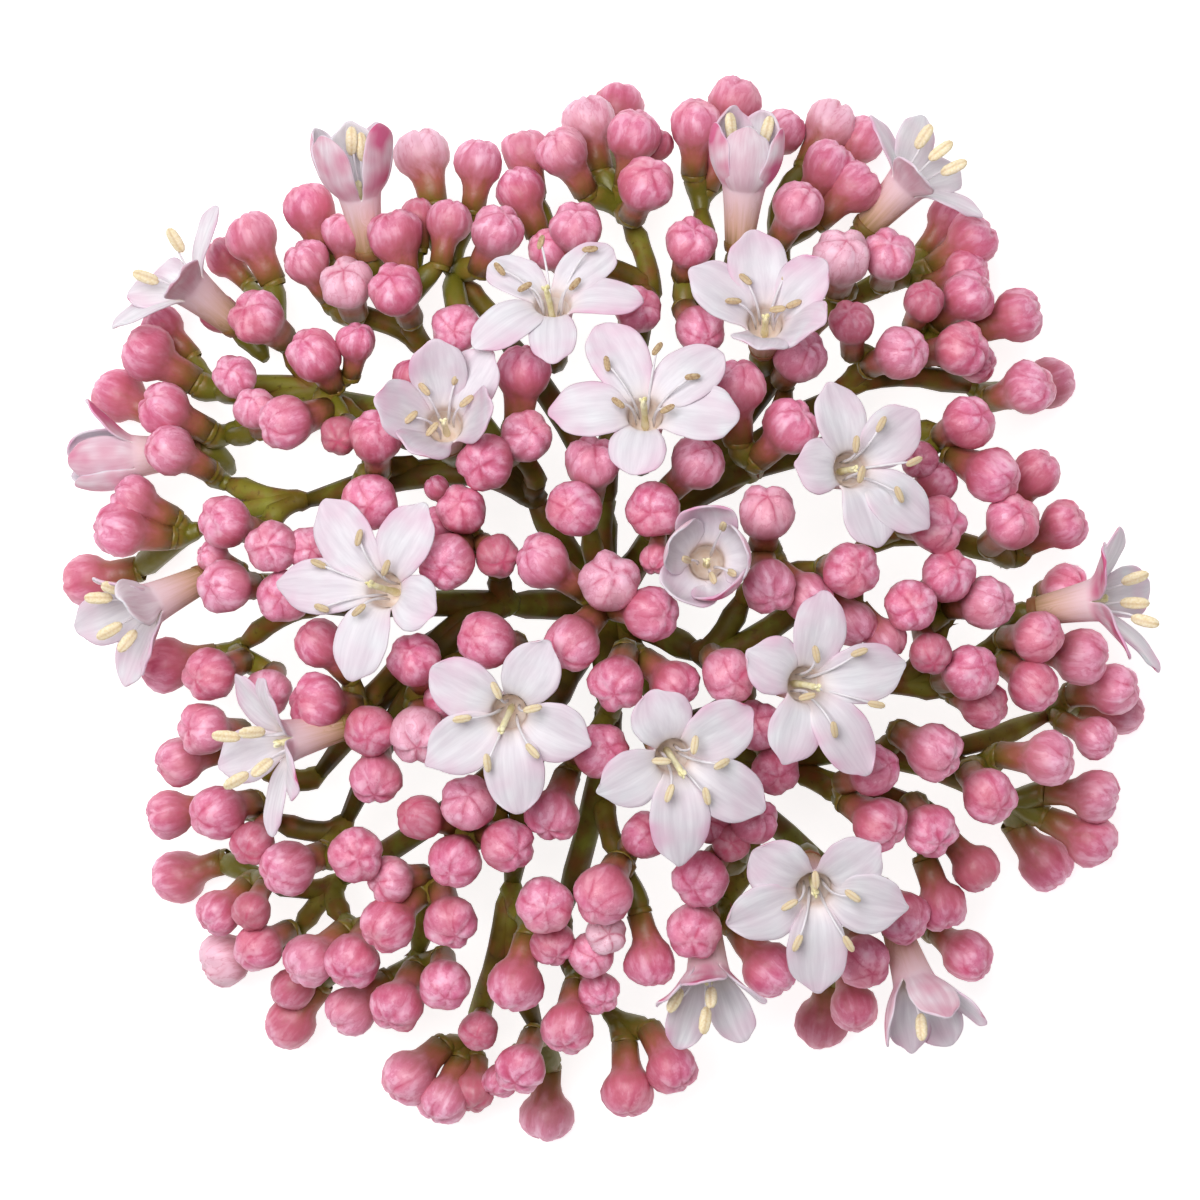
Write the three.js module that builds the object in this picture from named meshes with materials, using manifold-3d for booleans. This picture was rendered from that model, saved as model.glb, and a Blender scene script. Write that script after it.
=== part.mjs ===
// Laurustinus flower head: one picked cyme lying face up on its lowest rim buds.
// Millimetres, +Z up. Places are read off a picture of the head seen from straight above,
// [right, down] in pixels, and become millimetres through MM_PER_PIXEL.
import * as THREE from "three";
import { mergeVertices } from "three/addons/utils/BufferGeometryUtils.js";
import Module from "manifold-3d";

const wasm = await Module();
wasm.setup();

// Driving dimensions
const MM_PER_PIXEL = 0.05;
const CENTRE_PIXEL = [612.5, 610.7];
const DOME_TOP = 20;
const DOME_RIM = 4;
const RIM_RADIUS = 27;
const HUB_HEIGHT = 5;
const STALK_END = 0.4;
const STALK_RADIUS = 1.15;
const RAY_RADIUS = 0.72;
const BRANCH_RADIUS = 0.52;
const NECK_RADIUS = 0.62;
const GAP = 0.3;
const FINENESS = 0.04;

// Stems: sides, and the length of a pointed end and the taper as shares of the radius
const STEM_SIDES = 3;
const STALK_SIDES = 6;
const POINT_SHARE = 0.6;
const RAY_TOP_SHARE = 1.1;
const SIDE_BRANCH_SHARE = 0.9;

// A closed bud: heights from its middle and widths, as shares of its radius
const BUD_SIDES = 5;
const BUD_NECK_TOP = 1.3;
const BUD_WAIST = 0.08;
const BUD_CORNER = 1.08;
const BUD_SHOULDER = 0.78;
const BUD_SHOULDER_WIDTH = 0.66;
const BUD_CROWN = 0.98;
const NECK_ROOT = 0.1;
const SHORTEST_NECK = 0.4;

// An open flower
const FRONT_LIFT = 2;
const PETAL_THICKNESS = 0.6;
const THROAT_RADIUS = 0.95;
const FUNNEL_DEPTH = 0.7;
const TUBE_LENGTH = 3.2;
const PEDICEL_REACH = 0.45;
const BLADE_ROOT_SHARE = 0.7;
const BLADE_RISE = 0.55;
const BLADE_BEND_SHARE = 0.35;
const BLADE_CLEARANCE = 0.1;
const BLADE_SECTIONS = [
  { at: 0.4, width: 0.92 },
  { at: 0.78, width: 0.86 },
  { at: 1, width: 0.3 },
];
const STAMEN_COUNT = 5;
const STAMEN_LENGTH = 3.9;
const FILAMENT_RADIUS = 0.18;
const ANTHER_RADIUS = 0.34;
const FILAMENT_START_SHARE = 0.1;
const ANTHER_START_SHARE = 0.8;
const STAMEN_OFFSET = 0.4;
const STAMEN_ROOT_DEPTH = 1;
const STAMEN_UPRIGHTNESS = 1.4;

// Colours, and the roughness of living tissue
const STEM_GREEN = "#5f6a22";
const PETAL_WHITE = "#efe3ec";
const BUD_PINK = "#d9708c";
const SATIN = 0.55;

// A bud that the head rests on sits this share of its radius above the surface
const REST_SHARE = 0.84;
const REST = "rest";

// The green framework: main rays from the hub, then side branches to the seat of each spray.
// Each point is [right, down, depth below the dome in mm].
const HUB = [604, 606];
const RAYS = {
  west: [510, 604, 9],
  north_west: [535, 500, 9],
  north: [602, 508, 9],
  north_east: [672, 515, 9],
  east: [696, 652, 9],
  south_east: [672, 718, 9],
  south: [609, 705, 9],
  south_west: [548, 712, 9],
};

// Sprays of closed buds: the ray each grows from, its seat on that ray, and its forks.
// A fork is its own place and its buds; a bud is [right, down, radius, drop below the dome in mm].
const SPRAYS = {
  crown: {
    ray: "north", seat: [600, 572, 8],
    forks: [
      {
        at: [601, 600, 4.5],
        buds: [[609, 582, 30, 0], [650, 613, 28, 0.3], [572, 643, 28, 0.3], [543, 562, 28, 0.3]],
      },
      { at: [590, 530, 4.5], buds: [[574, 510, 28, 0], [593, 463, 28, 0.5]] },
    ],
  },
  crown_north_east: {
    ray: "north_east", seat: [655, 530, 7.5],
    forks: [{ at: [662, 503, 4.5], buds: [[653, 510, 28, 0], [697, 463, 28, 1.2]] }],
  },
  crown_east: {
    ray: "east", seat: [742, 600, 7.5],
    forks: [
      { at: [768, 562, 4.5], buds: [[766, 512, 28, 0.3], [769, 587, 27, 0.6], [808, 597, 25, 1.4]] },
      { at: [815, 568, 4.5], buds: [[850, 570, 28, 0], [854, 623, 22, 2.2], [885, 640, 22, 1.8]] },
    ],
  },
  crown_south: {
    ray: "south", seat: [609, 712, 7],
    forks: [
      { at: [622, 668, 4.5], buds: [[617, 682, 28, 0], [674, 684, 25, 1.2]] },
      { at: [583, 752, 4.8], buds: [[600, 750, 28, 1.2], [553, 815, 27, 1]] },
    ],
  },
  crown_south_east: {
    ray: "south_east", seat: [735, 705, 7.5],
    forks: [
      { at: [728, 668, 4.5], buds: [[728, 675, 27, 0]] },
      { at: [772, 745, 5.5], buds: [[757, 725, 25, 1.8], [775, 770, 24, 2.2]] },
    ],
  },
  crown_west: {
    ray: "west", seat: [500, 575, 7.5],
    forks: [{
      at: [472, 540, 4.8],
      buds: [[448, 562, 28, 0], [497, 556, 22, 1], [462, 510, 25, 0.6]],
    }],
  },
  crown_north_west: {
    ray: "north_west", seat: [536, 482, 7],
    forks: [{ at: [520, 452, 4.5], buds: [[487, 463, 28, 0], [527, 437, 26, 1], [523, 373, 28, 1]] }],
  },
  crown_south_west: {
    ray: "south_west", seat: [455, 672, 6.8],
    forks: [
      { at: [495, 655, 5], buds: [[487, 640, 29, 0]] },
      { at: [422, 690, 4.8], buds: [[415, 660, 27, 0.6], [419, 735, 29, 0.6]] },
    ],
  },
  west_inner: {
    ray: "west", seat: [400, 668, 7],
    forks: [{
      at: [368, 702, 5],
      buds: [[317, 702, 29, 0.5], [371, 731, 26, 0.3], [320, 644, 25, 1.8], [376, 778, 27, 0.6]],
    }],
  },
  west_mid: {
    ray: "west", seat: [320, 606, 6.5],
    forks: [
      { at: [262, 590, 5], buds: [[224, 587, 27, 0], [212, 556, 17, 1.6], [283, 597, 27, 1.8]] },
      { at: [245, 642, 5.5], buds: [[209, 674, 27, 0.4], [163, 665, 28, 1.8], [268, 692, 24, 1.8]] },
    ],
  },
  west_rim: {
    ray: "north_west", seat: [305, 500, 6.5],
    forks: [
      { at: [268, 520, 4.8], buds: [[226, 522, 27, 0], [272, 547, 26, 0.3], [308, 549, 22, 2]] },
      { at: [200, 528, 4.8], buds: [[131, 499, 25, 0.8], [118, 530, 28, 0], [86, 580, 27, REST]] },
      { at: [230, 485, 5], buds: [[170, 450, 25, 0.2]] },
    ],
  },
  north_west_mid: {
    ray: "north_west", seat: [415, 468, 7],
    forks: [{ at: [376, 470, 5], buds: [[377, 437, 27, 0.3], [371, 502, 29, 0.4]] }],
  },
  north_west_inner: {
    ray: "north_west", seat: [372, 428, 6.5],
    forks: [{
      at: [338, 402, 4.5],
      buds: [[286, 422, 28, 0], [314, 355, 27, 0], [340, 436, 20, 1], [356, 342, 20, 1]],
    }],
  },
  north_west_rim: {
    ray: "north_west", seat: [330, 395, 7.5],
    forks: [
      { at: [288, 350, 5], buds: [[250, 236, 26, 0.6], [217, 312, 20, 2.8], [256, 317, 28, 0]] },
      { at: [232, 388, 5], buds: [[146, 352, 29, 0], [160, 325, 22, 1.8], [234, 376, 22, 0]] },
      { at: [238, 425, 5.2], buds: [[116, 394, 27, 1.8], [162, 408, 28, 0], [254, 408, 21, 0.4]] },
    ],
  },
  north_north_west: {
    ray: "north_west", seat: [425, 350, 7],
    forks: [
      {
        at: [350, 312, 5],
        buds: [[308, 206, 27, 0], [306, 261, 24, 0.8], [344, 232, 23, 0.8], [346, 283, 27, 0]],
      },
      {
        at: [408, 322, 4.8],
        buds: [[396, 290, 27, 0], [395, 234, 28, 0.3], [418, 214, 18, 1.4], [449, 221, 23, 0.8]],
      },
    ],
  },
  north_mid: {
    ray: "north", seat: [500, 330, 7],
    forks: [
      {
        at: [465, 285, 5],
        buds: [[497, 231, 27, 0], [478, 161, 25, 0], [421, 152, 28, 0.6], [456, 328, 25, 1.2]],
      },
    ],
  },
  north_rim: {
    ray: "north", seat: [648, 302, 7],
    forks: [
      {
        at: [630, 222, 5],
        buds: [
          [562, 151, 26, 0.3], [589, 118, 27, 1], [619, 104, 25, REST],
          [634, 134, 27, 0], [656, 142, 18, 1.6], [645, 184, 28, 0],
        ],
      },
      { at: [588, 262, 5], buds: [[525, 150, 24, 1.6], [520, 190, 25, 1.6], [576, 228, 27, 0.4]] },
      { at: [640, 296, 5.5], buds: [[638, 310, 24, 2]] },
    ],
  },
  north_north_east: {
    ray: "north_east", seat: [702, 318, 7.5],
    forks: [
      { at: [702, 212, 5.2], buds: [[696, 124, 26, 0.3], [735, 99, 27, 1], [783, 130, 23, 2]] },
      { at: [694, 275, 4.8], buds: [[691, 243, 26, 0], [700, 330, 25, 2.2]] },
    ],
  },
  north_east_inner: {
    ray: "north_east", seat: [745, 475, 7.5],
    forks: [
      { at: [755, 465, 5], buds: [[737, 388, 29, 0.5], [790, 427, 28, 0.5]] },
      { at: [785, 392, 6.2], buds: [[800, 356, 27, 1.6]] },
    ],
  },
  north_east_mid: {
    ray: "north_east", seat: [795, 345, 7.5],
    forks: [
      {
        at: [785, 262, 5],
        buds: [
          [799, 205, 26, 0], [829, 166, 28, 0.3], [832, 122, 27, 1],
          [861, 138, 24, 1.6], [856, 185, 27, 0.4],
        ],
      },
      { at: [838, 300, 5], buds: [[843, 256, 29, 0]] },
      {
        at: [895, 278, 5.2],
        buds: [[889, 254, 26, 0], [975, 237, 27, 0.6], [968, 270, 24, 1.6], [950, 215, 22, 2.4]],
      },
    ],
  },
  north_east_rim: {
    ray: "north_east", seat: [835, 395, 7],
    forks: [
      { at: [862, 368, 5], buds: [[851, 323, 23, 0.2], [902, 353, 28, 0]] },
      {
        at: [918, 336, 5],
        buds: [[924, 301, 21, 0.6], [970, 295, 27, 0], [962, 348, 28, 0], [1020, 314, 27, 0]],
      },
      { at: [968, 385, 5], buds: [[1030, 387, 27, 0], [1052, 382, 26, REST]] },
    ],
  },
  east_north_east: {
    ray: "north_east", seat: [892, 435, 7],
    forks: [{ at: [935, 430, 4.8], buds: [[969, 422, 27, 0], [992, 475, 28, 0], [920, 460, 19, 2]] }],
  },
  east_mid: {
    ray: "east", seat: [862, 548, 7.5],
    forks: [
      { at: [902, 526, 4.8], buds: [[937, 525, 29, 0], [935, 485, 22, 2.6]] },
      { at: [1000, 556, 5], buds: [[1013, 522, 28, 0], [1065, 524, 25, 0.6], [1037, 473, 25, 0.8]] },
    ],
  },
  east_rim: {
    ray: "east", seat: [882, 682, 7],
    forks: [
      {
        at: [942, 628, 4.8],
        buds: [[910, 606, 27, 0], [948, 575, 27, 0.2], [930, 653, 21, 0.6], [987, 603, 27, 0]],
      },
      { at: [998, 652, 5], buds: [[1038, 637, 26, 0], [1033, 685, 26, 0.4], [1083, 657, 29, 0.4]] },
      { at: [1038, 606, 5.4], buds: [[1068, 588, 25, 2.4]] },
      { at: [938, 690, 5], buds: [[970, 672, 28, 0], [985, 705, 24, 1.6]] },
    ],
  },
  east_south_east: {
    ray: "south_east", seat: [862, 752, 7.5],
    forks: [
      { at: [895, 740, 4.8], buds: [[934, 752, 29, 0]] },
      { at: [965, 765, 4.8], buds: [[990, 796, 28, 0], [1050, 759, 28, 0]] },
      {
        at: [1045, 718, 5.4],
        buds: [[1117, 690, 26, 0.4], [1122, 712, 25, REST], [1098, 738, 22, 0.8]],
      },
      { at: [1003, 797, 5.4], buds: [[1098, 797, 27, 0.6], [1094, 842, 27, 1], [1049, 866, 28, REST]] },
    ],
  },
  south_east_mid: {
    ray: "south_east", seat: [800, 772, 7.5],
    forks: [
      { at: [836, 795, 4.8], buds: [[873, 770, 25, 0.6], [880, 824, 28, 0]] },
      { at: [905, 800, 5], buds: [[931, 831, 27, 0], [943, 907, 26, 1], [977, 869, 24, 1]] },
    ],
  },
  south_east_rim: {
    ray: "south_east", seat: [822, 862, 8],
    forks: [
      { at: [858, 935, 5.5], buds: [[864, 962, 27, 0.6], [855, 1010, 25, 1.4], [824, 1024, 27, REST]] },
      { at: [866, 885, 5.2], buds: [[903, 917, 27, 0.8]] },
      { at: [915, 925, 6], buds: [[969, 957, 26, 1.4]] },
    ],
  },
  south_south_east: {
    ray: "south_east", seat: [742, 802, 7.5],
    forks: [
      { at: [745, 848, 5.2], buds: [[755, 820, 24, 1.4], [731, 842, 20, 1.6], [701, 879, 28, 0.2]] },
      { at: [730, 898, 5.4], buds: [[694, 930, 28, 0], [770, 970, 28, 0.8]] },
    ],
  },
  south_mid: {
    ray: "south", seat: [605, 802, 7],
    forks: [{
      at: [617, 852, 4.8],
      buds: [[604, 893, 30, 0], [650, 962, 26, 0.6], [645, 835, 24, 1.8]],
    }],
  },
  south_rim: {
    ray: "south", seat: [562, 915, 7.5],
    forks: [
      {
        at: [570, 965, 5.2],
        buds: [[568, 1028, 27, 0], [592, 955, 23, 0.6], [599, 993, 22, 1.2], [606, 934, 21, 0.4]],
      },
      { at: [605, 1010, 5.8], buds: [[628, 1094, 27, 0.2], [672, 1070, 26, 0.8]] },
    ],
  },
  south_south_west: {
    ray: "south_west", seat: [512, 885, 7],
    forks: [
      { at: [522, 915, 4.8], buds: [[545, 905, 29, 0], [553, 944, 23, 0.8], [515, 985, 29, 0]] },
      {
        at: [472, 1040, 5.6],
        buds: [[478, 1032, 20, 1.4], [473, 1095, 21, 1.8], [442, 1103, 26, 0.6], [408, 1080, 27, 1]],
      },
      { at: [535, 1028, 5.6], buds: [[520, 1070, 26, 0], [546, 1120, 27, REST]] },
    ],
  },
  south_west_inner: {
    ray: "south_west", seat: [500, 812, 7],
    forks: [{
      at: [474, 838, 4.8],
      buds: [[469, 803, 28, 0.3], [508, 845, 27, 0], [455, 861, 27, 0.2], [421, 817, 23, 0.6]],
    }],
  },
  south_west_mid: {
    ray: "south_west", seat: [448, 862, 7.5],
    forks: [
      { at: [428, 888, 5], buds: [[388, 925, 28, 0], [391, 880, 24, 1.2], [451, 922, 27, 0.2]] },
      { at: [418, 950, 5.6], buds: [[396, 1007, 27, 0], [349, 1013, 26, 0.8], [444, 985, 26, 0.3]] },
    ],
  },
  west_south_west: {
    ray: "west", seat: [345, 822, 7],
    forks: [
      { at: [328, 850, 4.8], buds: [[287, 868, 29, 0], [356, 855, 28, 0]] },
      { at: [275, 822, 5], buds: [[167, 815, 25, 0.8], [217, 813, 28, 0.4], [252, 843, 22, 0.6]] },
    ],
  },
  south_west_rim: {
    ray: "south_west", seat: [338, 882, 7.5],
    forks: [
      { at: [268, 882, 5.4], buds: [[177, 878, 27, REST], [217, 914, 23, 0.8], [250, 912, 20, 0.4]] },
      { at: [300, 928, 5.6], buds: [[257, 949, 24, 0.3], [221, 962, 27, 1.2]] },
      {
        at: [342, 918, 5.4],
        buds: [[352, 962, 28, 0], [309, 961, 27, 0], [292, 990, 22, 1.6], [289, 1024, 26, 1.4]],
      },
    ],
  },
  west_rim_low: {
    ray: "west", seat: [318, 775, 7.5],
    forks: [{ at: [256, 764, 5.6], buds: [[203, 730, 27, 0.4], [178, 762, 25, 1.4]] }],
  },
};

// Open and half-open flowers. The foot sits on a spray or a ray; the throat is the tube's mouth.
// A flower that faces the viewer leans by tilt degrees towards lean, and its petal tips lie in
// one plane across that axis. A flower seen from the side has its own height for each tip, in pixels.
const FLOWERS = {
  flower_north: {
    foot: [560, 345, 6], throat: [553, 305], tilt: 42, lean: [0, 1], width: 22, cup: 8,
    tips: [[490, 262], [612, 245], [645, 300], [553, 365], [473, 348]],
  },
  flower_north_east: {
    foot: [762, 372, 5.6], throat: [765, 322], width: 28, lift: 1.6,
    tips: [[752, 230, 10], [825, 262, 35], [822, 322, 75], [757, 347, 85], [688, 270, 22]],
  },
  flower_crown_north: {
    foot: [640, 470, 6], throat: [645, 415], tilt: 25, lean: [0, 1], width: 27, cup: 8,
    tips: [[600, 322], [722, 350], [740, 417], [632, 475], [547, 412]],
  },
  flower_north_west: {
    foot: [455, 462, 6], throat: [445, 425], width: 28, lift: 1,
    tips: [[435, 340, 38], [375, 400, 50], [412, 450, 78], [492, 407, 76], [492, 350, 20]],
  },
  flower_west: {
    foot: [410, 600, 5.6], throat: [385, 590], tilt: 25, lean: [-1, 0.2], width: 27, cup: 8,
    tips: [[322, 500], [427, 503], [437, 612], [350, 682], [275, 585]],
  },
  flower_east: {
    foot: [825, 478, 6], throat: [850, 470], tilt: 22, lean: [1, 0.2], width: 25, cup: 8,
    tips: [[828, 382], [918, 410], [930, 528], [880, 548], [793, 465]],
  },
  flower_south_west: {
    foot: [525, 690, 5.6], throat: [510, 712], tilt: 12, lean: [-0.4, -1], width: 28, cup: 8,
    tips: [[430, 668], [550, 640], [592, 745], [520, 815], [425, 765]],
  },
  flower_south: {
    foot: [662, 735, 5.6], throat: [673, 756], tilt: 18, lean: [1, -1], width: 28, cup: 8,
    tips: [[652, 689], [754, 708], [766, 812], [681, 867], [596, 793]],
  },
  flower_crown_east: {
    foot: [785, 680, 5.6], throat: [804, 684], tilt: 22, lean: [1, -0.1], width: 27, cup: 8,
    tips: [[825, 589], [908, 663], [869, 776], [783, 765], [746, 650]],
  },
  flower_south_east: {
    foot: [808, 862, 5.6], throat: [814, 889], tilt: 24, lean: [0.2, -1], width: 29, cup: 8,
    tips: [[751, 851], [880, 843], [909, 909], [817, 995], [725, 926]],
  },
  flower_crown_half_open: {
    foot: [702, 575, 5.4], throat: [706, 560], width: 25, lift: 1, stamens: 2,
    tips: [[718, 497, 62], [668, 540, 62], [676, 600, 55], [722, 601, 60], [757, 552, 62]],
  },
  flower_rim_north_west: {
    foot: [262, 355, 5], throat: [203, 292], width: 23, lift: 1.2,
    tips: [[215, 205, 0], [165, 235, -62], [128, 290, -62], [110, 325, -5], [172, 305, 78]],
  },
  flower_rim_north_east: {
    foot: [872, 262, 5.4], throat: [908, 182], width: 22, lift: 1.2,
    tips: [[873, 113, 0], [925, 112, -60], [965, 150, -62], [985, 215, -5], [938, 182, 78]],
  },
  flower_rim_west: {
    foot: [252, 593, 5.7], throat: [155, 605], width: 23, lift: 1.4,
    tips: [[75, 575, -30], [72, 628, -58], [118, 687, -15], [140, 668, 62], [120, 588, 75]],
  },
  flower_rim_south_west: {
    foot: [352, 712, 5.6], throat: [284, 734], width: 25, lift: 1.6,
    tips: [[228, 675, -30], [262, 682, 62], [212, 762, -62], [270, 845, 0], [296, 792, 66]],
  },
  flower_rim_east: {
    foot: [1032, 620, 6], throat: [1096, 600], width: 24, lift: 1.4,
    tips: [[1125, 527, -30], [1153, 590, -70], [1160, 670, -25], [1126, 648, 66], [1104, 550, 66]],
  },
  flower_rim_south: {
    foot: [724, 918, 5.8], throat: [710, 972], width: 24, lift: 0.2,
    tips: [[642, 1008, 18], [676, 1056, -40], [746, 1048, -40], [762, 1008, 22], [697, 984, 88]],
  },
  flower_rim_south_east: {
    foot: [902, 912, 6.2], throat: [911, 980], width: 24, lift: 0.8,
    tips: [[893, 1052, 28], [915, 1045, -52], [948, 1050, -42], [981, 1032, 5], [948, 1020, 62]],
  },
  half_open_north_west: {
    foot: [398, 282, 6.2], throat: [359, 189], width: 22, lift: 1.6, stamens: 1,
    tips: [[315, 128, -14], [350, 119, -42], [389, 131, -12], [377, 118, 34], [325, 132, 36]],
  },
  half_open_north_east: {
    foot: [722, 268, 6.4], throat: [744, 182], width: 22, lift: 1.6, stamens: 0,
    tips: [[719, 117, 8], [738, 105, -36], [766, 110, -30], [783, 122, 10], [748, 120, 44]],
  },
  half_open_west: {
    foot: [228, 468, 7], throat: [130, 460], width: 20, lift: -1.4, stamens: 0,
    tips: [[62, 438, 8], [58, 462, -38], [68, 486, -8], [86, 478, 44], [84, 396, -14]],
  },
};

// The dome on which the buds' middles lie
function domeHeight(x, y) {
  const fall = (DOME_TOP - DOME_RIM) / RIM_RADIUS ** 2;
  return DOME_TOP - fall * (x * x + y * y);
}

function place([right, down], depth) {
  const x = (right - CENTRE_PIXEL[0]) * MM_PER_PIXEL;
  const y = (CENTRE_PIXEL[1] - down) * MM_PER_PIXEL;
  return new THREE.Vector3(x, y, domeHeight(x, y) - depth);
}

// Solids
function solid(geometry) {
  const bare = geometry.clone();
  bare.deleteAttribute("normal");
  bare.deleteAttribute("uv");
  const merged = mergeVertices(bare, 1e-4);
  const index = merged.index.array;
  const triangles = [];
  for (let i = 0; i < index.length; i += 3) {
    const [a, b, c] = [index[i], index[i + 1], index[i + 2]];
    if (a !== b && b !== c && c !== a) {
      triangles.push(a, b, c);
    }
  }
  return new wasm.Manifold(
    new wasm.Mesh({
      numProp: 3,
      vertProperties: new Float32Array(merged.attributes.position.array),
      triVerts: new Uint32Array(triangles),
    }),
  );
}

function fuse(solids) {
  return solids.reduce((whole, piece) => whole.add(piece));
}

// A profile turned about the line from start towards end; profile points are [radius, distance]
function turned(start, end, profile, sides, twist = 0) {
  const points = profile.map(([radius, distance]) => new THREE.Vector2(radius, distance));
  const geometry = new THREE.LatheGeometry(points, sides);
  geometry.rotateY(twist);
  const axis = end.clone().sub(start).normalize();
  const turn = new THREE.Quaternion().setFromUnitVectors(new THREE.Vector3(0, 1, 0), axis);
  geometry.applyQuaternion(turn);
  geometry.translate(start.x, start.y, start.z);
  return solid(geometry);
}

// A stem with pointed ends, so that stems meeting at one place fuse neatly
function stem(start, end, startRadius, endRadius, grow = 0) {
  const length = start.distanceTo(end);
  const profile = [
    [0, -startRadius * POINT_SHARE - grow],
    [startRadius + grow, 0],
    [endRadius + grow, length],
    [0, length + endRadius * POINT_SHARE + grow],
  ];
  return turned(start, end, profile, STEM_SIDES);
}

// Each bud is turned about its own axis by an amount that follows from its place
function budTwist(centre) {
  return centre.x * 1.7 + centre.y;
}

// One closed bud: a neck that swells from the fork into a five-cornered globe, one corner a lobe
function bud(fork, centre, radius, grow = 0) {
  const length = fork.distanceTo(centre);
  const corner = radius * BUD_CORNER;
  const neckTop = Math.max(length - BUD_NECK_TOP * radius, SHORTEST_NECK);
  const shoulder = [corner * BUD_SHOULDER_WIDTH, length + BUD_SHOULDER * radius];
  const profile = [
    [0, -NECK_ROOT - grow],
    [NECK_RADIUS + grow, neckTop],
    [corner + grow, length + BUD_WAIST * radius],
    [shoulder[0] + grow, shoulder[1] + grow],
    [0, length + BUD_CROWN * radius + grow],
  ];
  return turned(fork, centre, profile, BUD_SIDES, budTwist(centre));
}

function budCentre([right, down, radius, drop]) {
  const resting = drop === REST;
  const centre = place([right, down], resting ? 0 : drop);
  if (resting) {
    centre.z = radius * MM_PER_PIXEL * REST_SHARE;
  }
  return centre;
}

function spray(name, grow = 0) {
  const { seat, forks } = SPRAYS[name];
  const seatPoint = place(seat, seat[2]);
  const pieces = [];
  for (const fork of forks) {
    const forkPoint = place(fork.at, fork.at[2]);
    pieces.push(stem(seatPoint, forkPoint, BRANCH_RADIUS, BRANCH_RADIUS, grow));
    for (const row of fork.buds) {
      pieces.push(bud(forkPoint, budCentre(row), row[2] * MM_PER_PIXEL, grow));
    }
  }
  return fuse(pieces);
}

// The stalk under the hub, cut straight across just above the surface
function stalk(hub, grow) {
  const end = new THREE.Vector3(hub.x, hub.y, STALK_END);
  const length = hub.z - STALK_END;
  const profile = [
    [0, -grow],
    [STALK_RADIUS + grow, -grow],
    [STALK_RADIUS + grow, length],
    [0, length + STALK_RADIUS + grow],
  ];
  return turned(end, hub, profile, STALK_SIDES);
}

function framework(grow = 0) {
  const hub = place(HUB, 0).setZ(HUB_HEIGHT);
  const pieces = [stalk(hub, grow)];
  for (const ray of Object.values(RAYS)) {
    const rayPoint = place(ray, ray[2]);
    pieces.push(stem(hub, rayPoint, RAY_RADIUS * RAY_TOP_SHARE, RAY_RADIUS, grow));
  }
  for (const { ray, seat } of Object.values(SPRAYS)) {
    const rayPoint = place(RAYS[ray], RAYS[ray][2]);
    const seatPoint = place(seat, seat[2]);
    pieces.push(stem(rayPoint, seatPoint, RAY_RADIUS * SIDE_BRANCH_SHARE, BRANCH_RADIUS, grow));
  }
  return fuse(pieces);
}

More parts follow.
